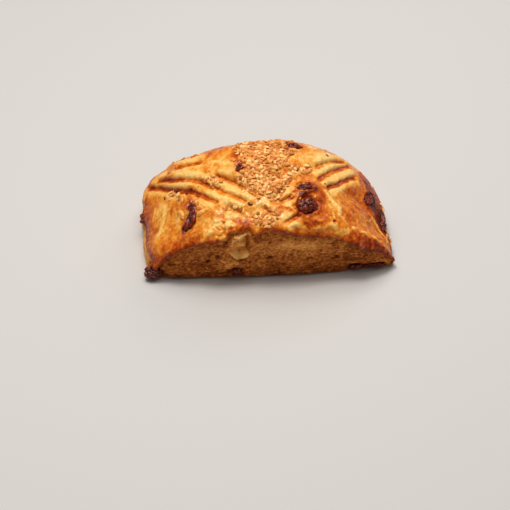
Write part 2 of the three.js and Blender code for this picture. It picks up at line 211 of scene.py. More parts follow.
def stationList():
    s = doughSkin
    stations = [s["leftEnd"]]
    while stations[-1] < s["rightEnd"]:
        toEnd = min(stations[-1] - s["leftEnd"], s["rightEnd"] - stations[-1])
        stations.append(stations[-1] + min(s["step"], s["endStep"] + s["endGrowth"] * toEnd))
    return np.array(stations[:-1])


def sectionHearts(stations):  # the point of each section that lies deepest in the dough
    y, z = np.meshgrid(np.arange(-33, 36, 1.5), np.arange(1.5, 24, 1.5), indexing="ij")
    grid = np.stack([y.ravel(), z.ravel()], -1)
    points = np.empty((len(stations), len(grid), 3))
    points[..., 0] = stations[:, None]
    points[..., 1:] = grid
    best = np.argmin(doughDistance(points), axis=1)
    return points[np.arange(len(stations)), best]


def rawSections(hearts):
    s = doughSkin
    angle = -math.pi / 2 - np.arange(s["rays"]) / s["rays"] * 2 * math.pi
    rays = np.stack([np.zeros_like(angle), np.cos(angle), np.sin(angle)], -1)
    inside = np.zeros((len(hearts), s["rays"]))
    outside = np.full_like(inside, s["farthest"])
    for _ in range(s["halvings"]):
        middle = (inside + outside) / 2
        isIn = doughDistance(hearts[:, None] + rays * middle[..., None]) < 0
        inside = np.where(isIn, middle, inside)
        outside = np.where(isIn, outside, middle)
    return hearts[:, None] + rays * inside[..., None]


def spread(run, count, crowding):
    travelled = np.concatenate([[0], np.cumsum(np.linalg.norm(np.diff(run, axis=0), axis=1))])
    wanted = (np.arange(count) / count) ** crowding * travelled[-1]
    return np.stack([np.interp(wanted, travelled, run[:, axis]) for axis in range(3)], -1)


def sectionLoop(x, raw):
    s = doughSkin
    offBase = np.flatnonzero(raw[:, 2] > 0.02)
    frontFoot, backFoot = offBase[0], offBase[-1]
    footZ = raw[frontFoot, 2]
    rise = raw[:, 2].max() - footZ
    share = np.clip((crustEdgeHeight(x) + bunForm["edgeRound"] / 2 - footZ) / rise, 0.3, 0.8)
    edge = int(np.argmax(raw[:, 2] > footZ + rise * share))
    return np.concatenate([
        spread(raw[frontFoot:edge + 1], s["frontPoints"], 1),
        spread(raw[edge:backFoot + 1], s["crustPoints"], s["crustCrowding"]),
        spread(raw[[backFoot, frontFoot]], s["basePoints"], 1),
    ])


def doughShell():  # points on the smooth form, their normals and the faces that join them
    stations = stationList()
    hearts = sectionHearts(stations)
    raw = rawSections(hearts)
    loops = np.stack([sectionLoop(float(x), ring) for x, ring in zip(stations, raw)])
    count, around = loops.shape[:2]
    points = loops.reshape(-1, 3)
    onBase = points[:, 2] < 0.02
    normals = skinNormals(points)
    settled = points - normals * doughDistance(points)[:, None]
    points = np.where(onBase[:, None], points, settled)
    points = np.vstack([points, hearts[0], hearts[-1]])
    normals = np.vstack([normals, [[-1, 0, 0]], [[1, 0, 0]]])
    ring = np.arange(around)
    following = (ring + 1) % around
    faces = []
    for section in range(1, count):
        here, before = section * around, (section - 1) * around
        faces += np.stack([before + ring, here + ring, here + following, before + following], -1).tolist()
    last = (count - 1) * around
    leftPole, rightPole = count * around, count * around + 1
    faces += [[leftPole, int(a), int(b)] for a, b in zip(ring, following)]
    faces += [[rightPole, int(last + b), int(last + a)] for a, b in zip(ring, following)]
    return points, normals, faces


# fork strokes pressed into the crust, each a line in plan and how deep it is; steep on the side away
# from the front, where the dough stands up in a pale ridge, with a lower one before the stroke
forkStrokes = {
    "depth": 1.35, "gentle": 1.8, "steep": 0.7, "fade": 2.4, "steps": 6,
    "wander": [(5, 0.4, 11), (2, 0.25, 12)],
    "wallAt": (0.4, 0.42), "bandFrom": (-2.3, 0.75), "bandTo": (-0.7, 0.75), "paleTo": (3.2, 3.4),
    "ridge": 0.42, "ridgeAt": (2.3, 1.6), "beforeShare": 0.4, "beforeAt": (-3.91, 2.24),
    "lines": [
        (((-12.5, -23.2), (-21, -18.8)), 1),
        (((-23.8, -16.5), (-34.8, -4.8), (-46, 4.8), (-59, 19)), 1), (((4.6, -26.6), (-4.6, -21.6)), 1),
        (((-9, -20.2), (-21, -11), (-31, -1), (-46, 10.6), (-54.5, 18.5)), 1),
        (((-3, -17), (-25.5, 0.2)), 0.9), (((-30.5, 11), (-45, 17.5)), 0.8),
        (((7.4, -31), (16.6, -25.2)), 1), (((5.8, -21.2), (14.4, -16.4)), 0.9),
        (((1.6, -19.5), (6.4, -16), (10.8, -10)), 1), (((9, -24.8), (12.4, -23)), 0.5),
        (((25.5, 1.4), (44, 17)), 0.8), (((25.5, -6.6), (38, 6.2), (46, 16)), 0.95),
        (((30.2, -9.2), (37.2, -3.2), (48.8, 10)), 1),
    ],
}


def pathOnCrust(points, steps=1):
    points = np.array(points, float)
    share = np.linspace(0, len(points) - 1, (len(points) - 1) * steps + 1)
    x = np.interp(share, np.arange(len(points)), points[:, 0])
    y = np.interp(share, np.arange(len(points)), points[:, 1])
    return np.stack([x, y, crustHeight(x, y)], -1)


def pathOnFace(points):
    points = np.array(points, float)
    x, z = points.T
    y = bunForm["frontY"] + bunForm["frontBow"] * (x / bunForm["frontHalf"]) ** 2 - bunForm["frontLean"] * z
    return np.stack([x, y, z], -1)


def nearPath(p, path):  # distance to a line of points, how far along it, and 1 behind it or -1 before
    nearest = np.full(len(p), 1e9)
    along = np.zeros(len(p))
    side = np.zeros(len(p))
    for step, (a, b) in enumerate(zip(path[:-1], path[1:])):
        share = np.clip((p - a) @ (b - a) / ((b - a) @ (b - a)), 0, 1)
        offset = p - (a + share[:, None] * (b - a))
        distance = np.linalg.norm(offset, axis=1)
        closer = distance < nearest
        nearest = np.where(closer, distance, nearest)
        along = np.where(closer, (step + share) / (len(path) - 1), along)
        side = np.where(closer, np.sign(offset[:, 1]), side)
    return nearest, along, side


def scoring(p):  # the strokes' groove, dark band, steep wall, ridges and the pale dough round them
    f = forkStrokes
    wander = layered(p, f["wander"])
    groove, band, wall, ridge, pale = np.zeros((5, len(p)))
    for line, strength in f["lines"]:
        path = pathOnCrust(line, f["steps"])
        length = np.linalg.norm(np.diff(path, axis=0), axis=1).sum()
        distance, along, side = nearPath(p, path)
        offset = distance * side + wander
        taper = strength * smoothStep(np.minimum(along, 1 - along) * length / f["fade"])
        width = np.where(offset > 0, f["steep"], f["gentle"])
        before = f["beforeShare"] * near(offset, *f["beforeAt"])
        groove = np.maximum(groove, taper * bell(offset, width))
        wall = np.maximum(wall, taper * near(offset, *f["wallAt"]))
        band = np.maximum(band, taper * ramp(offset, *f["bandFrom"]) * ramp(-offset, *f["bandTo"]))
        ridge = np.maximum(ridge, taper * np.maximum(near(offset, *f["ridgeAt"]), before))
        pale = np.maximum(pale, taper * (1 - ramp(np.abs(offset), *f["paleTo"])))
    return groove, band, wall, ridge * (1 - groove), pale


# marks with a place of their own. On the crust: plan points, half width, rise, change of brownness; two of
# them are painted highlights.
crustMarks = [
    (((29.4, -11.5), (32.2, -14.9), (34.6, -17), (36.3, -19.8), (36.2, -22.4)), 0.9, 0.4, -0.46),
    (((33.8, -16.4), (35.9, -18.6), (36.2, -20.6)), 1.2, 0.2, -0.16),
    (((36.4, -14), (36.6, -18)), 0.6, 0.2, -0.3), (((32.8, -22.6), (33.3, -24.9)), 0.45, 0.2, -0.35),
    (((-50.9, -2), (-51.6, -6.8), (-53.4, -12.4), (-56.1, -17.2)), 1.0, 0.3, -0.3),
    (((-54.8, -24.1), (-53.5, -29)), 0.7, 0.3, -0.28), (((-55.6, 2), (-57.2, -5.6)), 0.6, 0.2, -0.22),
    (((-47.5, -6), (-49, -22)), 1.2, 0.1, 0.1), (((-44.5, -14), (-43.6, -24)), 0.5, 0.15, -0.1),
    (((53.3, -9.4), (56.3, -11.9), (59.8, -15.4), (62.2, -20)), 0.8, 0.6, -0.3),
    (((33.2, -32.4), (35.6, -31.9)), 0.7, 0.4, -0.3), (((40.2, -28.6), (40.1, -31.9)), 0.7, 0.5, -0.36),
    (((43.2, -26.6), (44.8, -25.6)), 0.8, 0.4, -0.32),
    (((46.8, -27), (49.4, -25.6), (51, -26.8)), 0.7, 0.4, -0.34),
    (((36.6, -30.6), (38.2, -29.8)), 0.7, 0.3, -0.2), (((53.6, -25.6), (56.4, -25)), 0.6, 0.4, -0.26),
    (((31.6, -28.8), (33, -29.8)), 0.8, 0.4, -0.28), (((11.4, -31.2), (15.4, -30.7)), 0.9, 0.5, -0.26),
    (((18, -33), (19, -32.4)), 0.9, 0.5, -0.3), (((24.2, -32.2), (25.6, -31.2)), 0.8, 0.6, -0.36),
    (((27.4, -31.4), (29.6, -30.4)), 0.8, 0.4, -0.16), (((-14, 12), (-13, 4)), 1.6, -0.4, 0.22),
    (((-27, 17), (-31, 10)), 1.5, -0.2, 0.16), (((-39, -30), (-29, -31.6)), 1.4, 0, 0.12),
    (((-22, 6), (-30, 12)), 1.2, 0.3, -0.14), (((-36, 14), (-44, 20)), 1.0, 0.3, -0.16),
    # The last mark on the next line and the mark on the line after it are painted highlights: very pale
    # spots standing in for shine on the glaze.
    (((-18, 18), (-34, 22)), 1.6, -0.2, 0.14), (((-19.8, -28.4), (-18.9, -27.2)), 1.2, 0.5, -0.8),
    (((-25.6, -26.8), (-24.8, -25.9)), 1.0, 0.3, -0.6),
    (((-16, -21.2), (-13.6, -22.4)), 0.55, 0.7, -0.5), (((-29.6, -30.6), (-28.4, -30)), 1.0, 0.5, -0.3),
    (((17.4, -16.6), (20, -15.3), (24.8, -12.2)), 1.0, 0.5, 0.22),
    (((-24.4, -33), (-23.2, -31.4)), 1.0, 0.5, -0.34), (((2.4, -13.2), (4.6, -15.2)), 0.7, 0.2, 0.2),
]

# on the front face: points as x and height, half width, rise, change of paleness. Every mark with a
# negative rise is a dent painted darker, as painted shade; the long mark at x 8 to 23 and about 25 high is
# painted light.
faceMarks = [
    (((-16.5, 33), (-15.4, 32.4), (-14.3, 32.3), (-13, 33.4), (-12, 34.3),
      (-10.4, 35.2)), 0.95, 1.8, 0.3),
    (((-16.4, 33.7), (-14.4, 33.1), (-13, 34.1), (-10.6, 35.8)), 0.8, 0, 0.5),
    (((-18.6, 21.8), (-17.4, 20), (-16, 18.6), (-14.8, 18), (-13.4, 18.6), (-12, 19.7),
      (-10.2, 20.8)), 0.85, 2.9, 0.22),
    (((-17.6, 21.3), (-15.4, 19.5), (-13.4, 19.5), (-11, 21)), 0.7, 0, 0.5),
    # painted shadow under the torn ledge
    (((-17.4, 17.2), (-14.8, 16.2), (-11.8, 17.6)), 0.6, -0.6, -0.3),
    (((-15.6, 20.6), (-12.8, 20.8)), 1.7, 0.6, 0.08), (((-16.6, 24.6), (-12.6, 23.8)), 1.6, 0.2, 0.04),
    (((-18.1, 29.2), (-17, 30.4), (-16.2, 30)), 1.0, 0.8, 0.24),
    (((-14, 28.4), (-12.8, 27.2)), 1.1, 0.6, 0.16), (((-18.2, 27.8), (-17.8, 25.6)), 0.9, 0.6, 0.18),
    (((-19.4, 24), (-19.8, 21.4)), 1.4, 0.4, 0.12),
    (((-19.1, 14.2), (-18.2, 14.8), (-17, 15), (-15.8, 14.4), (-14.9, 13.5)), 0.9, 1.3, 0.32),
    (((-21.2, 11.9), (-19.6, 10.2)), 0.9, 0.9, 0.26), (((-24.2, 16.6), (-21, 13.6)), 1.2, 0.6, 0.16),
    # painted shade from here on wherever the rise is negative: the dark fold right of the tear, the hollow
    # under the crust, the tear's left edge and pits in the crumb
    (((-11, 32), (-10.6, 28.4), (-10.2, 24.6)), 1.2, -1.1, -0.34),
    (((-18.2, 35.8), (-14.4, 35.2)), 0.8, -0.9, -0.3), (((-20.6, 30), (-22.4, 27)), 1.0, -0.6, -0.2),
    (((-13.5, 15), (-13, 15.2)), 0.5, -0.8, -0.4), (((8, 26.4), (17, 24.6), (23, 24.8)), 2.2, 0.2, 0.2),
    (((56, 5), (62, 3.4)), 2.2, 0.2, 0.16), (((33.2, 12), (35.7, 13.5)), 0.7, -1.3, -0.6),
    (((-50, 12), (-47.5, 11.4)), 0.7, -0.8, -0.35), (((-30.8, 13.8), (-30.2, 14.4)), 0.9, -1.1, -0.42),
    (((-30.4, 19.4), (-29.8, 18.8)), 0.6, -0.7, -0.3), (((-25.4, 18.8), (-25, 17.2)), 0.8, -0.8, -0.32),
    (((-0.4, 15.7), (1.6, 17)), 0.55, -0.9, -0.42), (((-4.4, 14.7), (2.6, 14.7)), 0.5, 0.4, 0.16),
    (((20, 14), (22, 14.4)), 0.5, -0.6, -0.26), (((10.6, 19.2), (12, 19)), 0.5, -0.6, -0.26),
    (((44, 10), (45.6, 10.6)), 0.5, -0.6, -0.26),
]

# oval places on the bun: middle and reach, seen from above, or on a face as across and height
ovals = {
    "mound": ((1, 3), (16, 16)), "broken": ((-22, -29), (9, 6)),
    "leftSlope": ((-46, -14), (15, 15)), "rightSlope": ((48, -14), (14, 16)),
    "tear": ((-14.8, 26), (5, 9)), "tearTail": ((-18, 12), (5, 6)), "bulge": ((17, 17), (8, 7)),
}


def inOval(a, b, middle, reach, power=1):  # 1 in its middle, fading out round it
    out = np.hypot((a - middle[0]) / reach[0], (b - middle[1]) / reach[1])
    return bell(out ** power, 1)


# rises in mm. A noise row is pitch, amount and seed; creases and cells are pitch and seed; a pair is
# where something starts and over how much it comes up, or its middle and width.
skin = {
    "waves": [(31, 20, 0.45), (23, 100, 0.35), (15, 65, 0.2)],  # pitch, turn, rise
    "moundRise": 0.2, "bulgeRise": 2.4, "footFade": 5,
    "frontTurn": 1.6, "frontFrom": 0.1, "leftTurn": 1.4,  # how soon a slope counts as facing that way
    "frontEdge": (-0.3, 0.6), "leftFace": (0.84, 0.08), "leftEnd": (-0.6, 1.2), "brokenEdge": (-1.2, 1.5),
    "leftEdge": 10.5, "leftHump": 10.5, "leftHumpAt": (18, 7.5), "leftRagged": [((30, 4, 30), 1.2, 23)],
}

# browned crust; the flakes are where it broke above the tear
crustSkin = {
    "swell": [(9, 0.35, 40), (4, 0.16, 42)], "grain": [(1.7, 0.12, 45), (0.9, 0.09, 46)],
    "stretchLeft": [((1.9, 15, 13), 1, 49), ((4.5, 20, 17), 0.7, 50)],
    "stretchRight": [((12, 4, 2.2), 0.8, 55)],
    "streaks": ((2.3, 16, 14), 43), "wrinkles": ((7, 4, 7), 41), "wrinkleFloor": 0.25, "sharp": 5,
    "threads": ((3.4, 2.6, 3), 65), "threadBend": [(2, 0.6, 64)], "threadSharp": 8,
    "pimples": (2.3, 44), "pimpleSize": (0.3, 0.5), "pimplesAlong": (21.25, 15),
    "beads": ((1.9, 1.9, 1.5), 56), "beadSize": 0.6, "peelPlaces": (8, 57), "peelMore": 0.6,
    "flakes": ((3.6, 2.8, 2.8), 47), "flakeBend": [(2.4, 1.1, 63)], "flakeRough": [(1.2, 0.6, 48)],
    "flakeSlope": 1.5, "flakeRise": 0.9, "seamDepth": 0.5, "seamWidth": 0.12,
    "wrinkleRise": 0.3, "streakRise": 0.25, "stretchRise": 0.08, "threadRise": 0.2,
    "pimpleRise": 0.28, "peelRise": 0.22,
}

# the crust's lip over the front face, thicker where it rolls over the right corner
lip = {
    "rise": 0.85, "from": (-0.22, 1.1), "fade": (1.2, 4), "under": 0.8, "underAt": (-1.3, 1.3),
    "rollRise": 1.1, "rollFrom": (36, 8), "rollTo": (66, 2), "rollAt": (1.5, 3.4),
    "toneFrom": (-0.4, 0.8), "toneEdge": 1.1, "reach": 2.6, "reachRough": [(2.4, 0.5, 24)],
    "reachChanges": [(1, 38, 8, 4.6), (1, 56, 6, -2.5), (-1, 24, 8, -0.8)],  # way, start, over, change
}

# bare crumb on the front and left faces, and how it is torn
crumbSkin = {
    "fibre": [((4, 2.5, 2.4), 1, 51), ((2, 1.6, 1.4), 0.7, 52)],
    "grit": [((1.3, 1.3, 1.1), 1, 58), (0.8, 0.7, 59)],
    "fissures": ((4.4, 4, 2.4), 60), "fissureSharp": 9, "fissurePlaces": ((9, 9, 5), 62),
    "pores": ((1.7, 1.8, 1.2), 53), "poreSteep": 3, "poreFrom": 1.7,
    "crumbles": ((1.7, 1.6, 1.3), 66), "crumbleSize": 0.6, "shreds": ((1.5, 6, 5), 54),
    "fibreRise": 0.14, "gritRise": 0.14, "crumbleRise": 0.3, "poreDepth": 0.45, "fissureDepth": 0.25,
    "tornShred": 0.6, "tornCrumble": 0.5, "tailShare": 0.6, "tearDepth": 1.7,
}

markWander = [(2.6, 0.3, 61), (1.1, 0.2, 67)]  # how far a mark's edge strays


def waveRise(p):
    x, y, z = p.T
    rise = np.zeros(len(p))
    for pitch, turn, height in skin["waves"]:
        turn = math.radians(turn)
        rise += height * np.sin((x * math.cos(turn) + (y + z) * math.sin(turn)) * 2 * math.pi / pitch)
    return rise + skin["moundRise"] * inOval(x, y, *ovals["mound"])


def skinZones(p, n):  # which way the skin faces, where browned crust ends, the tear, the broken crust
    e, s = crustEdge, skin
    x, y, z = p.T
    toFront = smoothStep(-n[:, 1] * s["frontTurn"] - s["frontFrom"])
    height = z - crustEdgeHeight(x) - e["notch"] * ramp(x, *e["notchFrom"]) * ramp(-x, *e["notchTo"])
    aboveEdge = height - layered(p, e["ragged"])
    leftEdge = s["leftEdge"] + s["leftHump"] * near(y, *s["leftHumpAt"]) - z + layered(p, s["leftRagged"])
    tear = inOval(x, z, *ovals["tear"], power=2) * toFront
    tail = inOval(x, z, *ovals["tearTail"]) * toFront
    onLeftFace = ramp(-n[:, 0], *s["leftFace"]) * ramp(leftEdge, *s["leftEnd"])
    crumb = np.maximum(toFront * ramp(-aboveEdge, *s["frontEdge"]), onLeftFace)
    return {
        "toFront": toFront, "toLeft": smoothStep(-n[:, 0] * s["leftTurn"]),
        "crumb": crumb, "crust": 1 - crumb, "height": height, "aboveEdge": aboveEdge, "leftEdge": leftEdge,
        "tear": tear, "torn": np.maximum(tear, crumbSkin["tailShare"] * tail),
        "broken": inOval(x, y, *ovals["broken"]) * ramp(aboveEdge, *s["brokenEdge"]),
    }


def crustRelief(p, masks):  # fork strokes, wrinkles, streaks on the left slope, blisters on the right
    c, crust, strokes = crustSkin, masks["crust"], forkStrokes
    x, y, z = p.T
    groove, band, wall, ridge, pale = (mask * crust for mask in scoring(p))
    onLeftSlope = inOval(x, y, *ovals["leftSlope"])
    streak = creasesAt(p, *c["streaks"]) ** c["sharp"] * onLeftSlope
    stretch = layered(p, c["stretchLeft"]) * onLeftSlope
    stretch += layered(p, c["stretchRight"]) * inOval(x, y, *ovals["rightSlope"])
    wrinkle = creasesAt(p, *c["wrinkles"]) ** c["sharp"] - c["wrinkleFloor"]
    thread = creasesAt(p + layered(p, c["threadBend"])[:, None], *c["threads"]) ** c["threadSharp"]
    swell = layered(p, c["swell"])
    pimple = ramp(noiseAt(p, *c["pimples"]), *c["pimpleSize"])
    peel = c["beadSize"] - cellsAt(p, *c["beads"])[0]
    peel *= smoothStep(noiseAt(p, *c["peelPlaces"]) + c["peelMore"])
    flake, seam = cellsAt(p + layered(p, c["flakeBend"])[:, None], *c["flakes"])
    lumps = 1 - c["flakeSlope"] * flake + layered(p, c["flakeRough"])

    rise = swell + c["wrinkleRise"] * wrinkle + c["streakRise"] * streak + c["stretchRise"] * stretch
    rise += layered(p, c["grain"]) + c["threadRise"] * thread + c["peelRise"] * peel
    rise += c["pimpleRise"] * pimple * ramp(x, *c["pimplesAlong"])
    flakes = masks["broken"] * (c["flakeRise"] * lumps - c["seamDepth"] * bell(seam, c["seamWidth"]))
    masks.update({
        "band": band, "wall": wall, "pale": pale, "streak": streak, "stretch": stretch, "thread": thread,
        "swell": swell, "pimple": pimple, "peel": peel, "lumps": lumps,
    })
    return waveRise(p) + strokes["ridge"] * ridge - strokes["depth"] * groove + crust * rise + flakes


def lipRelief(p, masks):  # the lip, the roll at the right and the hollow under them
    x, above, toFront = p[:, 0], masks["aboveEdge"], masks["toFront"]
    onLip = ramp(above, *lip["from"]) * (1 - ramp(above, *lip["fade"]))
    roll = ramp(x, *lip["rollFrom"]) * (1 - ramp(x, *lip["rollTo"])) * near(above, *lip["rollAt"])
    reach = lip["reach"] + layered(p, lip["reachRough"])
    for way, start, over, change in lip["reachChanges"]:
        reach += change * ramp(way * x, start, over)
    inReach = 1 - ramp(masks["height"], reach, lip["toneEdge"])
    masks["lip"] = ramp(above, *lip["toneFrom"]) * inReach * toFront
    under = lip["under"] * near(above, *lip["underAt"]) * masks["crumb"]
    return toFront * ((lip["rise"] * onLip - under) * (1 - masks["tear"]) + lip["rollRise"] * roll)


def crumbRelief(p, masks):  # fibres along the face, pores, the hollow of the tear
    c = crumbSkin
    fibre = layered(p, c["fibre"])
    grit = layered(p, c["grit"])
    fissure = creasesAt(p, *c["fissures"]) ** c["fissureSharp"]
    fissure = fissure * smoothStep(noiseAt(p, *c["fissurePlaces"]) * 2 + 0.1)
    pore = smoothStep(noiseAt(p, *c["pores"]) * c["poreSteep"] - c["poreFrom"])
    crumble = c["crumbleSize"] - cellsAt(p, *c["crumbles"])[0]
    shred = creasesAt(p, *c["shreds"]) - 0.5
    masks.update({
        "fibre": fibre, "grit": grit, "fissure": fissure, "pore": pore, "crumble": crumble, "shred": shred,
    })
    rise = c["fibreRise"] * fibre + c["gritRise"] * grit + c["crumbleRise"] * crumble
    rise -= c["poreDepth"] * pore + c["fissureDepth"] * fissure
    rise += (c["tornShred"] * shred + c["tornCrumble"] * crumble) * masks["torn"]
    return masks["crumb"] * (rise - c["tearDepth"] * masks["tear"])


def markRelief(p, masks):  # the marks with a place of their own
    wander = layered(p, markWander)

    def pressed(marks, pathOn, wanders, mask):  # rise and change of tone of a list of marks
        total = np.zeros((2, len(p)))
        for points, halfWidth, height, change in marks:
            distance = nearPath(p, pathOn(points))[0] + wanders * wander
            total += np.outer((height, change), bell(np.maximum(distance, 0), halfWidth) * mask)
        return total

    crustRise, masks["bakeAndHighlightMarks"] = pressed(crustMarks, lambda at: pathOnCrust(at, 3), 1, masks["crust"])
    faceRise, masks["paleMarks"] = pressed(faceMarks, pathOnFace, 1.3, masks["toFront"])
    return crustRise + faceRise


def skinRelief(p, n):  # how far the skin stands out of the smooth form, and the masks that colour it
    masks = skinZones(p, n)
    bulge = skin["bulgeRise"] * inOval(p[:, 1], p[:, 2], *ovals["bulge"]) * masks["toLeft"]
    rise = crustRelief(p, masks) + lipRelief(p, masks) + crumbRelief(p, masks) + bulge
    return (rise + markRelief(p, masks)) * smoothStep(p[:, 2] / skin["footFade"]), masks


# how brown the crust is in places: plan middle, reach, change
bakeZones = [
    ((-60.5, 0), (3.6, 28), 0.2), ((-46, -16), (12, 12), 0.03), ((-26, -27), (10, 5), -0.12),
    ((-30, 8), (22, 8), -0.14), ((29, 8), (11, 7), -0.24), ((0, -20), (14, 7), -0.12),
    ((24, -27), (12, 4), 0.08), ((50, -4), (8, 20), 0.08), ((48, -14), (6, 6), -0.1),
    ((40, -16), (10, 9), 0.06), ((-20, -14), (9, 6), -0.08), ((0, 33), (80, 9), 0.22),
    ((28, -15.5), (2.8, 6), 0.26), ((20.5, -27.4), (4, 1.6), -0.12), ((18.2, -29.6), (1.2, 0.9), 0.26),
    ((20.4, -31), (1.2, 1), 0.28), ((22.8, -29.7), (1.1, 0.8), 0.24), ((25, -29.4), (1.1, 0.8), 0.22),
    ((12.4, -21.5), (3.4, 2.4), -0.16), ((9.5, -28), (3.4, 2.2), -0.12), ((-45, -5), (4, 4), 0.12),
    ((-44, -27), (5, 2.6), 0.14), ((-35, -29.6), (4, 2), 0.12), ((-14, 9), (3, 5), 0.2),
    ((-54, -24), (4, 6), 0.06), ((44, -20), (5, 4), 0.06), ((46, -4), (5, 5), 0.16),
    ((-22, 14), (6, 4), 0.12), ((-40, 3), (7, 3), -0.06), ((-29.4, 3.6), (2.4, 1.8), 0.26),
    ((-37, -1.5), (1.9, 1.3), 0.2), ((-23.8, -1.2), (1.8, 1.1), 0.2), ((-48, 14), (5, 3.2), 0.2),
    ((31, -24), (3, 4), 0.06), ((5.4, -19), (2.2, 1.8), 0.14), ((46, -14), (8, 8), 0.06),
    ((-57, -26), (3.4, 3), 0.12), ((40, 4), (8, 6), 0.05), ((0, -21), (9, 5), 0.05),
]


def shares(masks, amounts):  # the masks added up, each by its amount
    return sum(amount * masks[name] for name, amount in amounts.items())


crustTone = {
    "base": 0.45, "mottle": [(12, 0.07, 71), (5, 0.09, 72), (2.2, 0.08, 73), (1.1, 0.09, 75)],
    # wall darkens the steep upper wall of each stroke: painted shade in the groove
    "masks": {"peel": -0.14, "thread": -0.14, "streak": -0.16, "stretch": -0.06, "swell": -0.12,
              "wall": 0.28, "bakeAndHighlightMarks": 1},
    # the dark right end, with where it begins as places across the bun and along it
    "rim": ((-28, 65), (-20.3, 62.8), (-14.6, 60.2), (-12, 57.2),
            (-8.8, 54.6), (2.6, 52.6), (14, 49)),
    "rimRough": [(3, 1.2, 76)], "pastRim": 0.42, "rimEdge": (0, 3), "rimBack": (6, 20),
    "leftRim": 0.24, "leftRimAt": (-1.2, 1.6), "corner": 0.1, "cornerFrom": (52, 8), "cornerAt": (0, 6),
    # The lip's and roll's extra darkness towards the crust's edge, on the next two lines, is painted shade
    # where they turn under.
    "lip": 0.19, "lipUnderShade": 0.12, "low": (-2.86, 2.6), "underShadeRough": [(1.6, 0.5, 78)],
    "roll": 0.12, "rollUnderShade": 0.08, "rollFrom": (38, 7), "rollRough": [(1.2, 0.2, 77)],
    "pale": 0.27, "band": 0.06, "bandAtEnds": 0.22, "bandMiddle": -4, "bandEnds": (18.2, 26),
    "topRough": [((5, 5, 4), 0.12, 74)], "topFrom": (34, 8), "backFoot": 0.16, "backFrom": (0, 10),
    "footTop": (-14, 14), "blister": 0.08, "blisterFrom": (25, 15), "aboveLip": 0.12, "aboveLipAt": (5, 2),
    "broken": 0.1, "flake": 0.46, "palest": 0.14, "paleEase": 0.5, "darkest": 0.76, "darkEase": 0.4,
}


# the crust's tone: real browning, plus painted shade on the stroke walls and under the lip's edge, and
# painted highlights from two marks
def bakeAndPaintedLightTone(p, masks):  # how brown the crust is, from 0 pale to 1 almost black
    t = crustTone
    x, y, z = p.T
    above, band = masks["aboveEdge"], masks["band"]
    tone = t["base"] + layered(p, t["mottle"]) + shares(masks, t["masks"])
    for middle, reach, change in bakeZones:
        tone += change * inOval(x, y, middle, reach)
    rim, rimAt = np.array(t["rim"]).T
    beyondRim = x - np.interp(y, rim, rimAt) + layered(p, t["rimRough"])
    tone += t["pastRim"] * ramp(beyondRim, *t["rimEdge"]) * (1 - ramp(y, *t["rimBack"]))
    tone += t["leftRim"] * near(masks["leftEdge"], *t["leftRimAt"]) * masks["toLeft"] ** 4
    tone += t["corner"] * ramp(x, *t["cornerFrom"]) * near(above, *t["cornerAt"]) * masks["toFront"]
    # painted shade: darker along the lower edge of the lip and roll, where they turn under
    lower = ramp(-masks["height"] - layered(p, t["underShadeRough"]), *t["low"])
    onRoll = ramp(x, *t["rollFrom"])
    rollTone = t["roll"] + t["rollUnderShade"] * lower + layered(p, t["rollRough"])
    tone += masks["lip"] * (t["lip"] + t["lipUnderShade"] * lower + onRoll * rollTone)
    atEnds = ramp(np.abs(x - t["bandMiddle"]), *t["bandEnds"])
    tone += band * (t["band"] + t["bandAtEnds"] * atEnds) - t["pale"] * masks["pale"] * (1 - band)
    tone += layered(p, t["topRough"]) * ramp(z, *t["topFrom"])
    tone += t["backFoot"] * ramp(-z, *t["footTop"]) * ramp(y, *t["backFrom"])
    blister = t["blister"] * ramp(x, *t["blisterFrom"])
    blister += t["aboveLip"] * near(above, *t["aboveLipAt"]) * (1 - onRoll)
    tone += masks["broken"] * (t["broken"] - t["flake"] * masks["lumps"]) - masks["pimple"] * blister
    tone += t["paleEase"] * np.maximum(t["palest"] - tone, 0)
    return np.clip(tone - t["darkEase"] * np.maximum(tone - t["darkest"], 0), 0, 1)


# how pale the crumb is: places on the front face as middle across and height, reach, change
faceZones = [
    # the first zone, paler high on the face, is painted light; the fourth, darker over the face's lower
    # part, is painted shade
    ((14, 25), (26, 7), 0.18), ((-42, 14), (16, 14), -0.05), ((61, 4), (5, 4), 0.14),
    ((10, 8), (60, 8), -0.06), ((46, 12), (12, 8), -0.07), ((-14.6, 26), (5, 9), 0.05),
]

crumbLook = {
    "base": 0.42, "mottle": [((6, 4, 4), 0.07, 81)],
    # fissure and pore darken the crumb where it is dented, as painted shade; toLeft makes crumb facing left
    # paler, as painted light
    "masks": {"fibre": 0.05, "grit": 0.1, "crumble": 0.16, "fissure": -0.22, "torn": 0.16, "toLeft": 0.34,
              "pore": -0.28, "paleMarks": 1},
    # the darkening just under the crust's edge is painted shade under the lip; the darkening towards the
    # foot is painted shade near the floor
    "shred": 0.34, "underCrustShade": 0.16, "underCrustShadeAt": (0, 1.6), "foot": 0.14, "footTop": (-8, 8),
}


# the crumb's tone holds painted shade under the lip, towards the foot, in pores, fissures and dents, and
# painted light on the left face and high on the front face
def crumbTone(p, masks):  # how pale the crumb is, from 0 brown to 1 cream
    t = crumbLook
    x, z = p[:, 0], p[:, 2]
    tone = t["base"] + layered(p, t["mottle"]) + shares(masks, t["masks"])
    for middle, reach, change in faceZones:
        tone += change * inOval(x, z, middle, reach) * masks["toFront"]
    # painted shade under the lip's edge and towards the foot
    tone -= t["underCrustShade"] * near(masks["aboveEdge"], *t["underCrustShadeAt"]) * (1 - masks["torn"])
    tone -= t["foot"] * ramp(-z, *t["footTop"]) * masks["toFront"]
    return np.clip(tone + t["shred"] * masks["torn"] * masks["shred"], 0, 1)


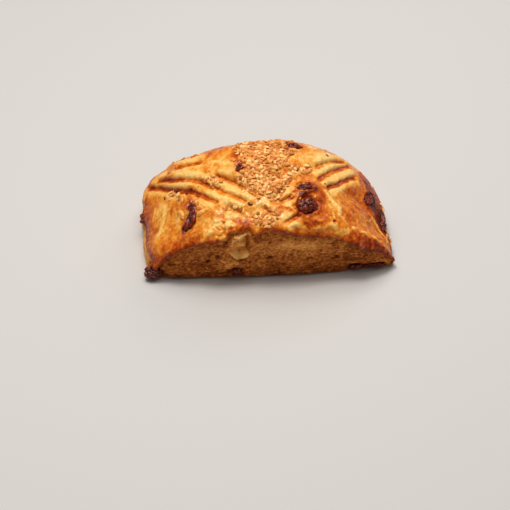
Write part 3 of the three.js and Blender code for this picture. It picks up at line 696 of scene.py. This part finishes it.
seedZones = [  # where sesame lies: a line in plan, how far round it, share of full cover
    ((0.6, 18), (1, 6), 14.6, 1.0), ((-1, 4), (-2, -5), 11.6, 1.0),
    ((-1.6, -4), (-2.6, -11.4), 6.6, 1.0), ((-9.8, -12.6), (-3.6, -16.6), 1.9, 0.9),
    ((3.4, -17.8), (10.8, -9.4), 3, 1.0), ((13.6, -5.8), (21, -1.2), 2.6, 0.75),
    ((-5.4, -27), (0.4, -29.4), 3, 1.0), ((-19.3, -19.6), (-13, -22.8), 1.6, 0.5),
    ((-29.8, -0.4), (-24, -4.8), 2.7, 0.75), ((-8, -19.4), (4, -25.6), 1.4, 0.5),
    ((-47, 2.4), (-43, -3.8), 2.6, 0.5), ((-33.8, -12.4), (-32.6, -18), 2, 0.25),
    ((61.5, 4), (63.4, -14), 2.6, 0.45), ((-48, 20), (-30, 24), 4, 0.16),
    ((55, -20), (58, 12), 5, 0.04),
]


# how raggedly a zone of seeds ends; none lies farther forward than frontMost
seedEdge = {"ragged": [(5, 0.2, 95), (2, 0.12, 96)], "steep": 2.2, "from": 1.5, "frontMost": -32.4}


def seedCover(p, n):
    e = seedEdge
    cover = np.zeros(len(p))
    ragged = 1 + layered(p, e["ragged"])
    for start, end, reach, share in seedZones:
        distance = nearPath(p, pathOnCrust([start, end], 6))[0] * ragged
        cover = np.maximum(cover, share * (1 - smoothStep(distance / reach * e["steep"] - e["from"])))
    return cover * smoothStep(n[:, 2] * 3) * smoothStep(p[:, 1] - e["frontMost"])


def toFrame(p):  # from the form's mm to the frame's metres, kept inside the solids' box
    low, high = np.array(cadBox[0]), np.array(cadBox[1])
    return np.clip((p - np.array(bunForm["middle"])) * mm, low, high)


def meshPiece(name, points, faces, smooth=True):
    mesh = bpy.data.meshes.new(name)
    mesh.from_pydata(points.tolist(), [], faces)
    mesh.validate()
    mesh.polygons.foreach_set("use_smooth", [smooth] * len(mesh.polygons))
    piece = bpy.data.objects.new(name, mesh)
    bpy.context.scene.collection.objects.link(piece)
    return piece


def storeTone(piece, name, values):
    attribute = piece.data.attributes.new(name, "FLOAT", "POINT")
    attribute.data.foreach_set("value", np.asarray(values, np.float32))


# raisins as the solids place them: length, width and depth, then turn and bend in degrees
raisinPlan = {
    "onSkin": {  # from a plan place, sunk by a share of its depth
        "raisin_left": ((-37.8, -17.4), (19.5, 5.6, 5.4), 66, 138, 0.45),
        "raisin_right_main": ((20, -21.6), (11.5, 8.6, 6.4), 18, 25, 0.4),
        "raisin_right_upper": ((19.8, -12), (9, 4.6, 4.4), 185, 75, 0.45),
        "raisin_crown_front": ((-12.5, -0.6), (6.2, 4.4, 4.4), 75, 20, 0.5),
        "raisin_crown_back": ((16, 12), (9.5, 4.6, 4.6), -4, 30, 0.5),
        "raisin_right_high": ((54.5, 0), (9, 6, 5), 60, 35, 0.55),
        "raisin_right_low": ((61, -6.5), (12, 5.2, 5), 100, 30, 0.55),
    },
    "inFace": {  # from its middle
        "raisin_foot_corner": ((-58.6, -26.2, 4.6), (9.5, 7.5, 7.4), 10, 20),
        "raisin_foot_front": ((-16, -28.2, 6.4), (6.6, 5, 5.4), 15, 25),
        "raisin_foot_middle": ((45.5, -26.6, 3.2), (7, 4.4, 4.4), 5, 20),
        "raisin_foot_tip": ((56, -25.6, 3), (10.5, 4.8, 4.2), 8, 25),
        "raisin_left_side": ((-62.2, 7, 10.5), (5, 7.5, 6), 0, 15),
    },
    "rings": 56, "sides": 44, "wrinkles": 4, "wrinkleDepth": 0.1,
    "folds": ((2.6, 1.6, 1.6), 71), "foldDepth": 1.2, "fineFolds": (0.8, 72), "fineDepth": 0.45,
    "plump": 0.35, "footGap": 0.15,
}


def raisinRings(size, bend, name):
    s = raisinPlan
    length, width, depth = size
    arc = math.radians(bend)
    t = (np.arange(s["rings"]) + 0.5) / s["rings"] * 2 - 1
    angle = np.arange(s["sides"]) / s["sides"] * 2 * math.pi
    t, angle = np.meshgrid(t, angle, indexing="ij")
    roundness = np.sqrt(1 - t * t)
    fold = 1 - s["wrinkleDepth"] * np.cos(s["wrinkles"] * angle + len(name) + 2 * t)
    across = width / 2 * roundness * fold * np.cos(angle)
    up = depth / 2 * roundness * fold * np.sin(angle)
    turn = arc * t / 2
    radius = length / arc
    x = radius * np.sin(turn) - np.sin(turn) * across
    y = radius * (1 - np.cos(turn)) + np.cos(turn) * across
    p = np.stack([x, y, up], -1).reshape(-1, 3)
    p[:, :2] -= (p[:, :2].max(0) + p[:, :2].min(0)) / 2
    return p


def ringFaces(rings, sides):
    faces = []
    side = np.arange(sides)
    following = (side + 1) % sides
    for ring in range(rings - 1):
        a, b = ring * sides, (ring + 1) * sides
        faces += np.stack([a + side, a + following, b + following, b + side], -1).tolist()
    start, finish, last = rings * sides, rings * sides + 1, (rings - 1) * sides
    faces += [[start, int(b), int(a)] for a, b in zip(side, following)]
    faces += [[finish, int(last + a), int(last + b)] for a, b in zip(side, following)]
    return faces


def turnMatrix(normal, turn):
    tip = Vector((0, 0, 1)).rotation_difference(Vector(normal)).to_matrix()
    return np.array(tip @ Matrix.Rotation(math.radians(turn), 3, "Z"))


def raisinPlaces():  # middle, rotation, size and bend of every raisin, in mm
    places = {}
    for name, (at, size, turn, bend, sunk) in raisinPlan["onSkin"].items():
        point = pathOnCrust([at])
        normal = skinNormals(point)[0]
        lift = size[2] * (0.5 - sunk) + waveRise(point)[0]
        places[name] = (point[0] + normal * lift, turnMatrix(normal, turn), size, bend)
    for name, (middle, size, turn, bend) in raisinPlan["inFace"].items():
        places[name] = (np.array(middle, float), turnMatrix((0, 0, 1), turn), size, bend)
    return places


def makeRaisins(material):
    s = raisinPlan
    faces = ringFaces(s["rings"], s["sides"])
    for index, (name, (middle, rotation, size, bend)) in enumerate(raisinPlaces().items()):
        p = raisinRings(size, bend, name)
        outward = p / (np.array(size) / 2)
        outward /= np.linalg.norm(outward, axis=1, keepdims=True) + 1e-9
        key = p + 40 * index  # each raisin reads its own stretch of the noise
        folds = creasesAt(key, *s["folds"]) ** 3
        depth = s["foldDepth"] * folds + s["fineDepth"] * creasesAt(key, *s["fineFolds"]) ** 2 - s["plump"]
        p = p - outward * depth[:, None]
        ends = np.stack([p[:s["sides"]].mean(0), p[-s["sides"]:].mean(0)])
        p = np.vstack([p, ends]) @ rotation.T + middle
        p[:, 2] = np.maximum(p[:, 2], s["footGap"])
        piece = meshPiece(name + "_skin", toFrame(p), faces)
        storeTone(piece, "fold", np.concatenate([folds, folds[:1], folds[-1:]]))
        piece.data.materials.append(material)
        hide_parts(name)
        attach(piece, "root")
    print("raisins: %d" % (index + 1))


def srgb(red, green, blue):  # a colour as seen, 0 to 255, made linear
    def linear(value):
        value /= 255
        return value / 12.92 if value <= 0.04045 else ((value + 0.055) / 1.055) ** 2.4
    return (linear(red), linear(green), linear(blue), 1)


def setInputs(tree, node, inputs):  # a value or a link for each socket
    for socket, value in inputs.items():
        if isinstance(value, bpy.types.NodeSocket):
            tree.links.new(value, node.inputs[socket])
        else:
            node.inputs[socket].default_value = value


def addNode(tree, kind, inputs, **settings):
    node = tree.nodes.new(kind)
    for name, value in settings.items():
        setattr(node, name, value)
    setInputs(tree, node, inputs)
    return node


def mathNode(tree, operation, *values):
    return addNode(tree, "ShaderNodeMath", dict(enumerate(values)), operation=operation).outputs[0]


def newMaterial(name):
    material = bpy.data.materials.new(name)
    material.use_nodes = True
    return material, material.node_tree, material.node_tree.nodes["Principled BSDF"]


def attributeNode(tree, name):
    return addNode(tree, "ShaderNodeAttribute", {}, attribute_name=name).outputs["Fac"]


def noiseNode(tree, scale, detail=3, roughness=0.6, stretch=(1, 1, 1)):
    place = addNode(tree, "ShaderNodeTexCoord", {}).outputs["Object"]
    if stretch != (1, 1, 1):
        place = addNode(tree, "ShaderNodeMapping", {"Vector": place, "Scale": stretch}).outputs["Vector"]
    inputs = {"Vector": place, "Scale": scale, "Detail": detail, "Roughness": roughness}
    return addNode(tree, "ShaderNodeTexNoise", inputs).outputs["Fac"]


def rampNode(tree, factor, stops):
    node = addNode(tree, "ShaderNodeValToRGB", {"Fac": factor})
    elements = node.color_ramp.elements
    while len(elements) < len(stops):
        elements.new(0.5)
    for element, (position, colour) in zip(elements, stops):
        element.position = position
        element.color = srgb(*colour)
    return node.outputs["Color"]


def bumpNode(tree, height, strength, distance):
    inputs = {"Height": height, "Strength": strength, "Distance": distance}
    return addNode(tree, "ShaderNodeBump", inputs).outputs["Normal"]


crustLook = {
    "crustStops": [
        (0.0, (255, 208, 124)), (0.16, (255, 190, 96)), (0.34, (240, 152, 48)), (0.5, (218, 112, 20)),
        (0.66, (184, 70, 10)), (0.82, (134, 42, 6)), (1.0, (72, 22, 4)),
    ],
    "crumbStops": [
        (0.0, (84, 28, 4)), (0.3, (156, 76, 22)), (0.55, (212, 126, 54)), (0.8, (255, 172, 84)),
        (1.0, (255, 200, 118)),
    ],
    "crustRoughness": 0.3, "crumbRoughness": 0.85, "roughnessSpread": 0.3,
    "grain": 700, "grainTone": 0.5, "speckle": 2400, "speckleTone": 0.3,
    "fibre": (640, 640, 760), "fibreTone": 0.9,
    "glaze": 0.34, "glazeRoughness": 0.13, "shine": 0.2, "warmth": (1, 0.76, 0.5, 1),
    "glow": 0.1, "glowReach": 0.0016, "glowTint": (1, 0.36, 0.1),
    "bump": 0.8, "bumpHeight": 0.0005, "speckleBump": 0.4,
}


def doughMaterial():
    look = crustLook
    material, tree, shader = newMaterial("bakedDough")
    crust = attributeNode(tree, "crust")
    grain = noiseNode(tree, look["grain"], 4)
    speckle = noiseNode(tree, look["speckle"], 2)
    fibre = noiseNode(tree, 1, 4, 0.5, look["fibre"])
    spread = look["grainTone"] + look["speckleTone"]
    shade = mathNode(tree, "MULTIPLY_ADD", grain, look["grainTone"], -spread / 2)
    shade = mathNode(tree, "MULTIPLY_ADD", speckle, look["speckleTone"], shade)
    mottle = mathNode(tree, "MULTIPLY_ADD", fibre, look["fibreTone"], -look["fibreTone"] / 2)
    bakeAndPaintedLight = mathNode(tree, "ADD", attributeNode(tree, "bakeAndPaintedLight"), shade)
    crumb = mathNode(tree, "ADD", attributeNode(tree, "crumb"), mottle)
    colours = {6: rampNode(tree, crumb, look["crumbStops"]), 7: rampNode(tree, bakeAndPaintedLight, look["crustStops"])}
    colour = addNode(tree, "ShaderNodeMix", {"Factor": crust, **colours}, data_type="RGBA").outputs[2]
    base = look["crumbRoughness"] - look["roughnessSpread"] / 2
    roughness = mathNode(tree, "MULTIPLY_ADD", crust, look["crustRoughness"] - look["crumbRoughness"], base)
    roughness = mathNode(tree, "MULTIPLY_ADD", grain, look["roughnessSpread"], roughness)
    height = mathNode(tree, "MULTIPLY_ADD", speckle, look["speckleBump"], grain)
    height = mathNode(tree, "ADD", height, fibre)
    setInputs(tree, shader, {
        "Base Color": colour, "Roughness": roughness,
        "Coat Weight": mathNode(tree, "MULTIPLY", attributeNode(tree, "glaze"), look["glaze"]),
        "Coat Roughness": look["glazeRoughness"],
        "Specular IOR Level": look["shine"], "Specular Tint": look["warmth"],
        "Subsurface Weight": look["glow"], "Subsurface Radius": look["glowTint"],
        "Subsurface Scale": look["glowReach"],
        "Normal": bumpNode(tree, height, look["bump"], look["bumpHeight"]),
    })
    return material


raisinLook = {
    "stops": [(0.0, (48, 10, 4)), (0.3, (122, 36, 18)), (0.6, (184, 72, 38)), (0.9, (232, 130, 76))],
    "grain": 700, "grainTone": 0.9, "base": -0.12, "foldShade": -0.3,
    "roughness": 0.26, "warmth": (1, 0.8, 0.7, 1), "bump": 0.3, "bumpHeight": 0.0003,
}


def raisinMaterial():
    look = raisinLook
    material, tree, shader = newMaterial("raisinSkin")
    grain = noiseNode(tree, look["grain"])
    tone = mathNode(tree, "MULTIPLY_ADD", grain, look["grainTone"], look["base"])
    # the deepest folds are painted darker: painted shade in the raisin's creases
    tone = mathNode(tree, "MULTIPLY_ADD", attributeNode(tree, "fold"), look["foldShade"], tone)
    setInputs(tree, shader, {
        "Base Color": rampNode(tree, tone, look["stops"]), "Roughness": look["roughness"],
        "Specular Tint": look["warmth"], "Normal": bumpNode(tree, grain, look["bump"], look["bumpHeight"]),
    })
    return material


sesameLook = {
    "stops": [(0.0, (180, 92, 28)), (0.25, (214, 124, 46)), (0.7, (234, 158, 72)), (1.0, (255, 210, 134))],
    "grain": 1500, "grainTone": 0.3, "roughness": 0.42, "warmth": (1, 0.84, 0.66, 1),
}


def sesameMaterial():
    look = sesameLook
    material, tree, shader = newMaterial("toastedSesame")
    grain = noiseNode(tree, look["grain"], 2)
    tone = mathNode(tree, "MULTIPLY_ADD", grain, look["grainTone"], -look["grainTone"] / 2)
    tone = mathNode(tree, "ADD", attributeNode(tree, "seedTone"), tone)
    setInputs(tree, shader, {
        "Base Color": rampNode(tree, tone, look["stops"]), "Roughness": look["roughness"],
        "Specular Tint": look["warmth"],
    })
    return material


# what a raisin does to the dough round it, by how far out of the raisin it is: a dip under it, a torn
# and browner rim, a dark stain on crumb
raisinBed = {
    "margin": 0.4, "rough": [(2.2, 1, 93), (1.1, 0.6, 94)], "ragged": 0.16, "bare": (0.9, 0.4),
    "rim": 0.8, "rimRough": 0.5, "rimAt": (1.2, 0.24), "dip": 0.8, "dipAt": (0, 0.75),
    "faceDip": 2.8, "faceDipAt": (0, 1.1), "stain": 0.34, "stainAt": (0.9, 0.45),
    "brown": 0.24, "brownAt": (1, 0.25), "halo": 0.06, "haloRough": 0.12, "haloAt": (1.4, 0.6),
}

# the crust under the heap of seeds, and where seeds lie two deep
heapBed = {
    "cells": ((2.1, 1.5, 1.5), 97), "cellSize": 0.62, "rise": 0.7, "pale": 0.04, "paleTops": 0.3,
    "pileSteep": 3, "pileFrom": 1.9,
}

glazePlan = {"aboveEdge": (0, 4), "ends": (44, 14), "lessAtEnds": 0.8}


def bedRaisins(points, crust, rise, bakeAndPaintedLight, cover):  # changes the last three, and gives the stain
    b = raisinBed
    rough = layered(points, b["rough"])
    stain = np.zeros(len(points))
    for middle, rotation, size, bend in raisinPlaces().values():
        local = (points - middle) @ rotation / (np.array(size) / 2 + b["margin"])
        out = np.linalg.norm(local, axis=1) + b["ragged"] * rough
        rim = (b["rim"] + b["rimRough"] * rough) * near(out, *b["rimAt"])
        halo = (b["halo"] + b["haloRough"] * rough) * near(out, *b["haloAt"])
        rise += crust * (rim - b["dip"] * near(out, *b["dipAt"]))
        rise -= (1 - crust) * b["faceDip"] * near(out, *b["faceDipAt"])
        bakeAndPaintedLight += crust * (b["brown"] * near(out, *b["brownAt"]) + halo)
        stain += b["stain"] * near(np.maximum(out, b["stainAt"][0]), *b["stainAt"])
        cover *= ramp(out, *b["bare"])
    return stain


def makeDough(material):
    points, normals, faces = doughShell()
    rise, masks = skinRelief(points, normals)
    crust = masks["crust"]
    onBase = points[:, 2] < 0.02
    cover = seedCover(points, normals)
    bakeAndPaintedLight = bakeAndPaintedLightTone(points, masks)
    stain = bedRaisins(points, crust, rise, bakeAndPaintedLight, cover)
    heap = smoothStep(cover * 2)
    bed = heapBed["cellSize"] - cellsAt(points, *heapBed["cells"])[0]
    rise += heapBed["rise"] * bed * heap
    bakeAndPaintedLight = np.clip(bakeAndPaintedLight - heap * (heapBed["pale"] + heapBed["paleTops"] * bed), 0, 1)
    raised = points + normals * np.where(onBase, 0, rise)[:, None]
    raised[:, 2] = np.where(onBase, 0, np.maximum(raised[:, 2], 0.02))
    glaze = crust * ramp(masks["aboveEdge"], *glazePlan["aboveEdge"])
    glaze *= 1 - glazePlan["lessAtEnds"] * ramp(np.abs(points[:, 0]), *glazePlan["ends"])
    piece = meshPiece("doughBody", toFrame(raised), faces)
    tones = {
        "crust": crust, "bakeAndPaintedLight": bakeAndPaintedLight, "glaze": glaze,
        "crumb": np.clip(crumbTone(points, masks) - stain, 0, 1),
        "seedCover": cover, "seedPile": smoothStep(cover * heapBed["pileSteep"] - heapBed["pileFrom"]),
    }
    for name, values in tones.items():
        storeTone(piece, name, values)
    piece.data.materials.append(material)
    print("dough: %d points" % len(points))
    return piece


sesame = {
    "length": 3.1, "width": 1.8, "thickness": 0.9, "taper": 0.32, "segments": 12, "rings": 8,
    "smallest": 0.82, "largest": 1.1,
    "spacing": 1.35, "mostPerSquareMm": 1.1, "pileSpacing": 1.65,
    "lift": 0.15, "pileLift": 0.55, "tilt": 20, "seed": 5,
}


def sesameTree(material):
    tree = bpy.data.node_groups.new("sesameScatter", "GeometryNodeTree")
    tree.is_modifier = True
    tree.interface.new_socket("Geometry", in_out="INPUT", socket_type="NodeSocketGeometry")
    tree.interface.new_socket("Geometry", in_out="OUTPUT", socket_type="NodeSocketGeometry")
    sockets = {}
    for label in ("Length", "Width", "Thickness", "Taper", "Spacing", "Pile Spacing", "Density",
                  "Lift", "Pile Lift", "Tilt", "Seed"):
        kind = "NodeSocketInt" if label == "Seed" else "NodeSocketFloat"
        sockets[label] = tree.interface.new_socket(label, in_out="INPUT", socket_type=kind).identifier

    def add(kind, inputs, **settings):
        return addNode(tree, kind, inputs, **settings)

    def math3(operation, a, b):
        return mathNode(tree, operation, a, b)

    def vector(x, y, z):
        return add("ShaderNodeCombineXYZ", {"X": x, "Y": y, "Z": z}).outputs[0]

    entry = add("NodeGroupInput", {}).outputs
    seed = entry["Seed"]

    def layer(coverName, spacing, lift, seedShift):  # points by cover, lifted and turned to the skin
        cover = add("GeometryNodeInputNamedAttribute", {"Name": coverName}, data_type="FLOAT")
        scatter = add("GeometryNodeDistributePointsOnFaces", {
            "Mesh": entry["Geometry"], "Distance Min": spacing, "Density Max": entry["Density"],
            "Density Factor": cover.outputs["Attribute"], "Seed": math3("ADD", seed, seedShift),
        }, distribute_method="POISSON")
        away = add("ShaderNodeVectorMath", {0: scatter.outputs["Normal"], "Scale": lift}, operation="SCALE")
        raised = add("GeometryNodeSetPosition", {
            "Geometry": scatter.outputs["Points"], "Offset": away.outputs[0],
        })
        return add("GeometryNodeStoreNamedAttribute", {
            "Geometry": raised.outputs["Geometry"], "Name": "lie", "Value": scatter.outputs["Rotation"],
        }, data_type="QUATERNION", domain="POINT").outputs["Geometry"]

    both = add("GeometryNodeJoinGeometry", {})
    tree.links.new(layer("seedCover", entry["Spacing"], entry["Lift"], 0), both.inputs[0])
    tree.links.new(layer("seedPile", entry["Pile Spacing"], entry["Pile Lift"], 7), both.inputs[0])

    # one seed: a ball, narrowed to one end and stretched
    ball = add("GeometryNodeMeshUVSphere", {
        "Radius": 0.5, "Segments": sesame["segments"], "Rings": sesame["rings"],
    })
    place = add("GeometryNodeInputPosition", {}).outputs[0]
    x, y, z = add("ShaderNodeSeparateXYZ", {0: place}).outputs
    narrowed = math3("SUBTRACT", 1.0, math3("MULTIPLY", x, math3("MULTIPLY", entry["Taper"], 2.0)))
    tapered = add("GeometryNodeSetPosition", {
        "Geometry": ball.outputs["Mesh"],
        "Position": vector(math3("MULTIPLY", x, entry["Length"]),
                           math3("MULTIPLY", math3("MULTIPLY", y, narrowed), entry["Width"]),
                           math3("MULTIPLY", z, entry["Thickness"])),
    })

    # each seed lies on the skin, tilted a little and turned any way
    tilt = entry["Tilt"]
    back = math3("MULTIPLY", tilt, -1.0)
    anyTurn = add("FunctionNodeRandomValue", {
        0: vector(back, back, 0.0), 1: vector(tilt, tilt, 2 * math.pi), "Seed": seed,
    }, data_type="FLOAT_VECTOR")
    toRotation = add("FunctionNodeEulerToRotation", {0: anyTurn.outputs[0]})
    lie = add("GeometryNodeInputNamedAttribute", {"Name": "lie"}, data_type="QUATERNION")
    turn = add("FunctionNodeRotateRotation", {
        0: lie.outputs["Attribute"], 1: toRotation.outputs[0],
    }, rotation_space="LOCAL")
    size = add("FunctionNodeRandomValue", {
        2: sesame["smallest"], 3: sesame["largest"], "Seed": math3("ADD", seed, 3),
    }, data_type="FLOAT")
    seeds = add("GeometryNodeInstanceOnPoints", {
        "Points": both.outputs[0], "Instance": tapered.outputs[0],
        "Rotation": turn.outputs[0], "Scale": size.outputs[1],
    })
    tone = add("FunctionNodeRandomValue", {"Seed": math3("ADD", seed, 11)}, data_type="FLOAT")
    toned = add("GeometryNodeStoreNamedAttribute", {
        "Geometry": seeds.outputs[0], "Name": "seedTone", "Value": tone.outputs[1],
    }, data_type="FLOAT", domain="INSTANCE")
    realized = add("GeometryNodeRealizeInstances", {0: toned.outputs[0]})
    smooth = add("GeometryNodeSetShadeSmooth", {0: realized.outputs[0]})
    painted = add("GeometryNodeSetMaterial", {"Geometry": smooth.outputs[0], "Material": material})
    add("NodeGroupOutput", {0: painted.outputs[0]})
    return tree, sockets


def makeSesame(dough, material):
    tree, sockets = sesameTree(material)
    modifier = dough.modifiers.new("sesame", "NODES")
    modifier.node_group = tree
    s = sesame
    values = {
        "Length": s["length"] * mm, "Width": s["width"] * mm, "Thickness": s["thickness"] * mm,
        "Taper": s["taper"], "Spacing": s["spacing"] * mm, "Pile Spacing": s["pileSpacing"] * mm,
        "Density": s["mostPerSquareMm"] / mm ** 2, "Lift": s["lift"] * mm, "Pile Lift": s["pileLift"] * mm,
        "Tilt": math.radians(s["tilt"]), "Seed": s["seed"],
    }
    for label, value in values.items():
        modifier[sockets[label]] = value
    graph = bpy.context.evaluated_depsgraph_get()
    mesh = bpy.data.meshes.new_from_object(dough.evaluated_get(graph), depsgraph=graph)
    dough.modifiers.remove(modifier)
    corners = np.empty(len(mesh.vertices) * 3)
    mesh.vertices.foreach_get("co", corners)
    mesh.vertices.foreach_set("co", np.clip(corners.reshape(-1, 3), cadBox[0], cadBox[1]).ravel())
    piece = bpy.data.objects.new("sesameSeeds", mesh)
    bpy.context.scene.collection.objects.link(piece)
    print("sesame: %d faces" % len(mesh.polygons))
    return piece


looseBits = {
    "crumbs": [  # plan place, size, turn and brownness of flakes of crust
        ((-42.4, -12.6), (6.4, 3.2, 2), 96, 0.26), ((-33.4, -13), (5.6, 3.8, 2.2), 130, 0.14),
        ((-31.6, -14.8), (4.8, 3, 2), 110, 0.2), ((-32.2, -18.2), (5.4, 2.8, 1.9), 30, 0.2),
        ((-34.4, -15.6), (3.4, 2.6, 1.6), 60, 0.46), ((-35.4, -9), (3, 2, 1.4), 10, 0.2),
        ((-41.5, -3.4), (3, 2.2, 1.5), 40, 0.2), ((-46.2, 2.2), (3.4, 2, 1.4), 10, 0.16),
        ((18.4, -16), (4.6, 2.2, 1.8), 30, 0.6), ((23, -13.8), (5, 2.4, 1.9), 34, 0.58),
        ((24.4, -16.2), (2.2, 1.6, 1.3), 70, 0.2), ((20, -13.8), (2.6, 1.7, 1.3), 10, 0.18),
        ((17.9, -14.7), (2.2, 1.7, 1.3), 50, 0.3), ((16.3, -17.8), (3, 2.1, 1.5), 100, 0.3),
        ((14, -17), (2.8, 1.8, 1.3), 150, 0.34), ((12.9, -17.9), (2.4, 1.6, 1.2), 60, 0.5),
        ((14.8, -7), (3.6, 2, 1.4), 130, 0.4), ((17.4, -24.2), (2.6, 1.6, 1.3), 160, 0.24),
        ((25.6, -19.6), (2.4, 1.7, 1.2), 70, 0.6), ((20.6, -1.4), (3.2, 2, 1.4), 60, 0.66),
    ],
    "specks": [  # plan place, length and turn of dark bits of raisin
        ((-33.4, -3.1), 1.6, 20), ((-39.6, -2.5), 1.8, 120), ((-24.4, -5.6), 1.9, 140),
        ((-48, 4), 1.5, 60), ((-45.2, 2.9), 2.4, 10), ((-51.1, 3.6), 2.2, 90), ((-31.1, -14), 1.2, 30),
        ((-8.4, -20.8), 2.6, 150), ((29.8, -7.3), 1.6, 40), ((33, 12), 2.2, 120), ((33, -26.8), 2, 20),
        ((16.4, -3.2), 1.6, 90), ((-33.4, -11.5), 1.2, 45), ((-29.4, -0.6), 1.8, 30),
        ((4.6, -28.6), 1.7, 150),
    ],
    "subdivisions": 4, "sunk": 0.45, "roughness": 0.34, "speckTone": 0.3,
    "speckShape": (1, 0.7, 0.6), "otherTones": (0.6, 0.8, 0.8),  # glaze, crust and crumb of flakes
}


def lumpMesh():  # a unit ball, as points and faces
    body = bmesh.new()
    bmesh.ops.create_icosphere(body, subdivisions=looseBits["subdivisions"], radius=1)
    points = np.array([v.co[:] for v in body.verts])
    faces = [[v.index for v in f.verts] for f in body.faces]
    body.free()
    return points, faces


def makeBits(name, rows, material, toneNames):  # rows of plan place, size, turn, tone
    ball, ballFaces = lumpMesh()
    points, faces, tones = [], [], []
    for index, (at, size, turn, tone) in enumerate(rows):
        base = pathOnCrust([at])
        normal = skinNormals(base)[0]
        rough = noiseAt(ball + 9 * index, 0.7, 91) + 0.5 * noiseAt(ball + 5 * index, 0.3, 92)
        shape = ball * (1 + looseBits["roughness"] * rough[:, None]) * np.array(size) / 2
        middle = base[0] + normal * (size[2] * (0.5 - looseBits["sunk"]) + waveRise(base)[0])
        faces += [[corner + index * len(ball) for corner in face] for face in ballFaces]
        points.append(shape @ turnMatrix(normal, turn).T + middle)
        tones += [tone] * len(ball)
    piece = meshPiece(name, toFrame(np.vstack(points)), faces)
    storeTone(piece, toneNames[0], tones)
    for toneName, value in zip(toneNames[1:], looseBits["otherTones"]):
        storeTone(piece, toneName, np.full(len(tones), value))
    piece.data.materials.append(material)
    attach(piece, "root")
    print("%s: %d faces" % (name, len(faces)))


camera = {
    "place": (-43.72, -628.94, 616.45),  # mm, from the bun's middle
    "pitch": 45, "yaw": -3.5, "lens": 118.45,
}


def makeCamera():
    data = bpy.data.cameras.new("camera")
    data.lens = camera["lens"]
    data.sensor_width = 36
    data.clip_start = 0.01
    piece = bpy.data.objects.new("camera", data)
    piece.location = Vector(camera["place"]) * mm
    piece.rotation_euler = (math.radians(90 - camera["pitch"]), 0, math.radians(camera["yaw"]))
    bpy.context.scene.collection.objects.link(piece)
    bpy.context.scene.camera = piece


studio = {
    "floor": (205, 200, 194), "floorRoughness": 0.7, "world": 0.14,
    "lamps": [  # place and target in m, size, watts
        ((-0.05, 0.1, 1.0), (0, 0, 0), 0.8, 7.2),
        ((-0.12, 0.02, 0.9), (0, 0, 0.02), 0.16, 3),
        ((0.45, 0.6, 0.6), (0, 0, 0.02), 0.5, 1.6),
    ],
}


def makeStudio():
    bpy.ops.mesh.primitive_plane_add(size=6, location=(0, 0, -0.0001))
    floor = bpy.context.object
    floor.name = "floor"
    material, tree, shader = newMaterial("paleFloor")
    setInputs(tree, shader, {"Base Color": srgb(*studio["floor"]), "Roughness": studio["floorRoughness"]})
    floor.data.materials.append(material)
    for index, (place, target, size, watts) in enumerate(studio["lamps"]):
        data = bpy.data.lights.new("lamp%d" % index, "AREA")
        data.size = size
        data.energy = watts
        lamp = bpy.data.objects.new("lamp%d" % index, data)
        lamp.location = place
        lamp.rotation_euler = (Vector(target) - Vector(place)).to_track_quat("-Z", "Y").to_euler()
        bpy.context.scene.collection.objects.link(lamp)
    world = bpy.data.worlds.new("studio")
    world.use_nodes = True
    background = world.node_tree.nodes["Background"]
    setInputs(world.node_tree, background, {"Color": (1, 1, 1, 1), "Strength": studio["world"]})
    bpy.context.scene.world = world
    bpy.context.scene.view_settings.view_transform = "Standard"
    print("studio: %d lamps" % len(studio["lamps"]))


makeCamera()
makeStudio()
dough = makeDough(doughMaterial())
seeds = makeSesame(dough, sesameMaterial())
for piece in (dough, seeds):
    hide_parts("bun")
    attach(piece, "root")
raisinSkin = raisinMaterial()
makeRaisins(raisinSkin)
flakeTones = ("bakeAndPaintedLight", "glaze", "crust", "crumb")
makeBits("crustCrumbs", looseBits["crumbs"], dough.data.materials[0], flakeTones)
speckShape = np.array(looseBits["speckShape"])
speckTone = looseBits["speckTone"]
specks = [(at, length * speckShape, turn, speckTone) for at, length, turn in looseBits["specks"]]
makeBits("raisinBits", specks, raisinSkin, ("fold",))
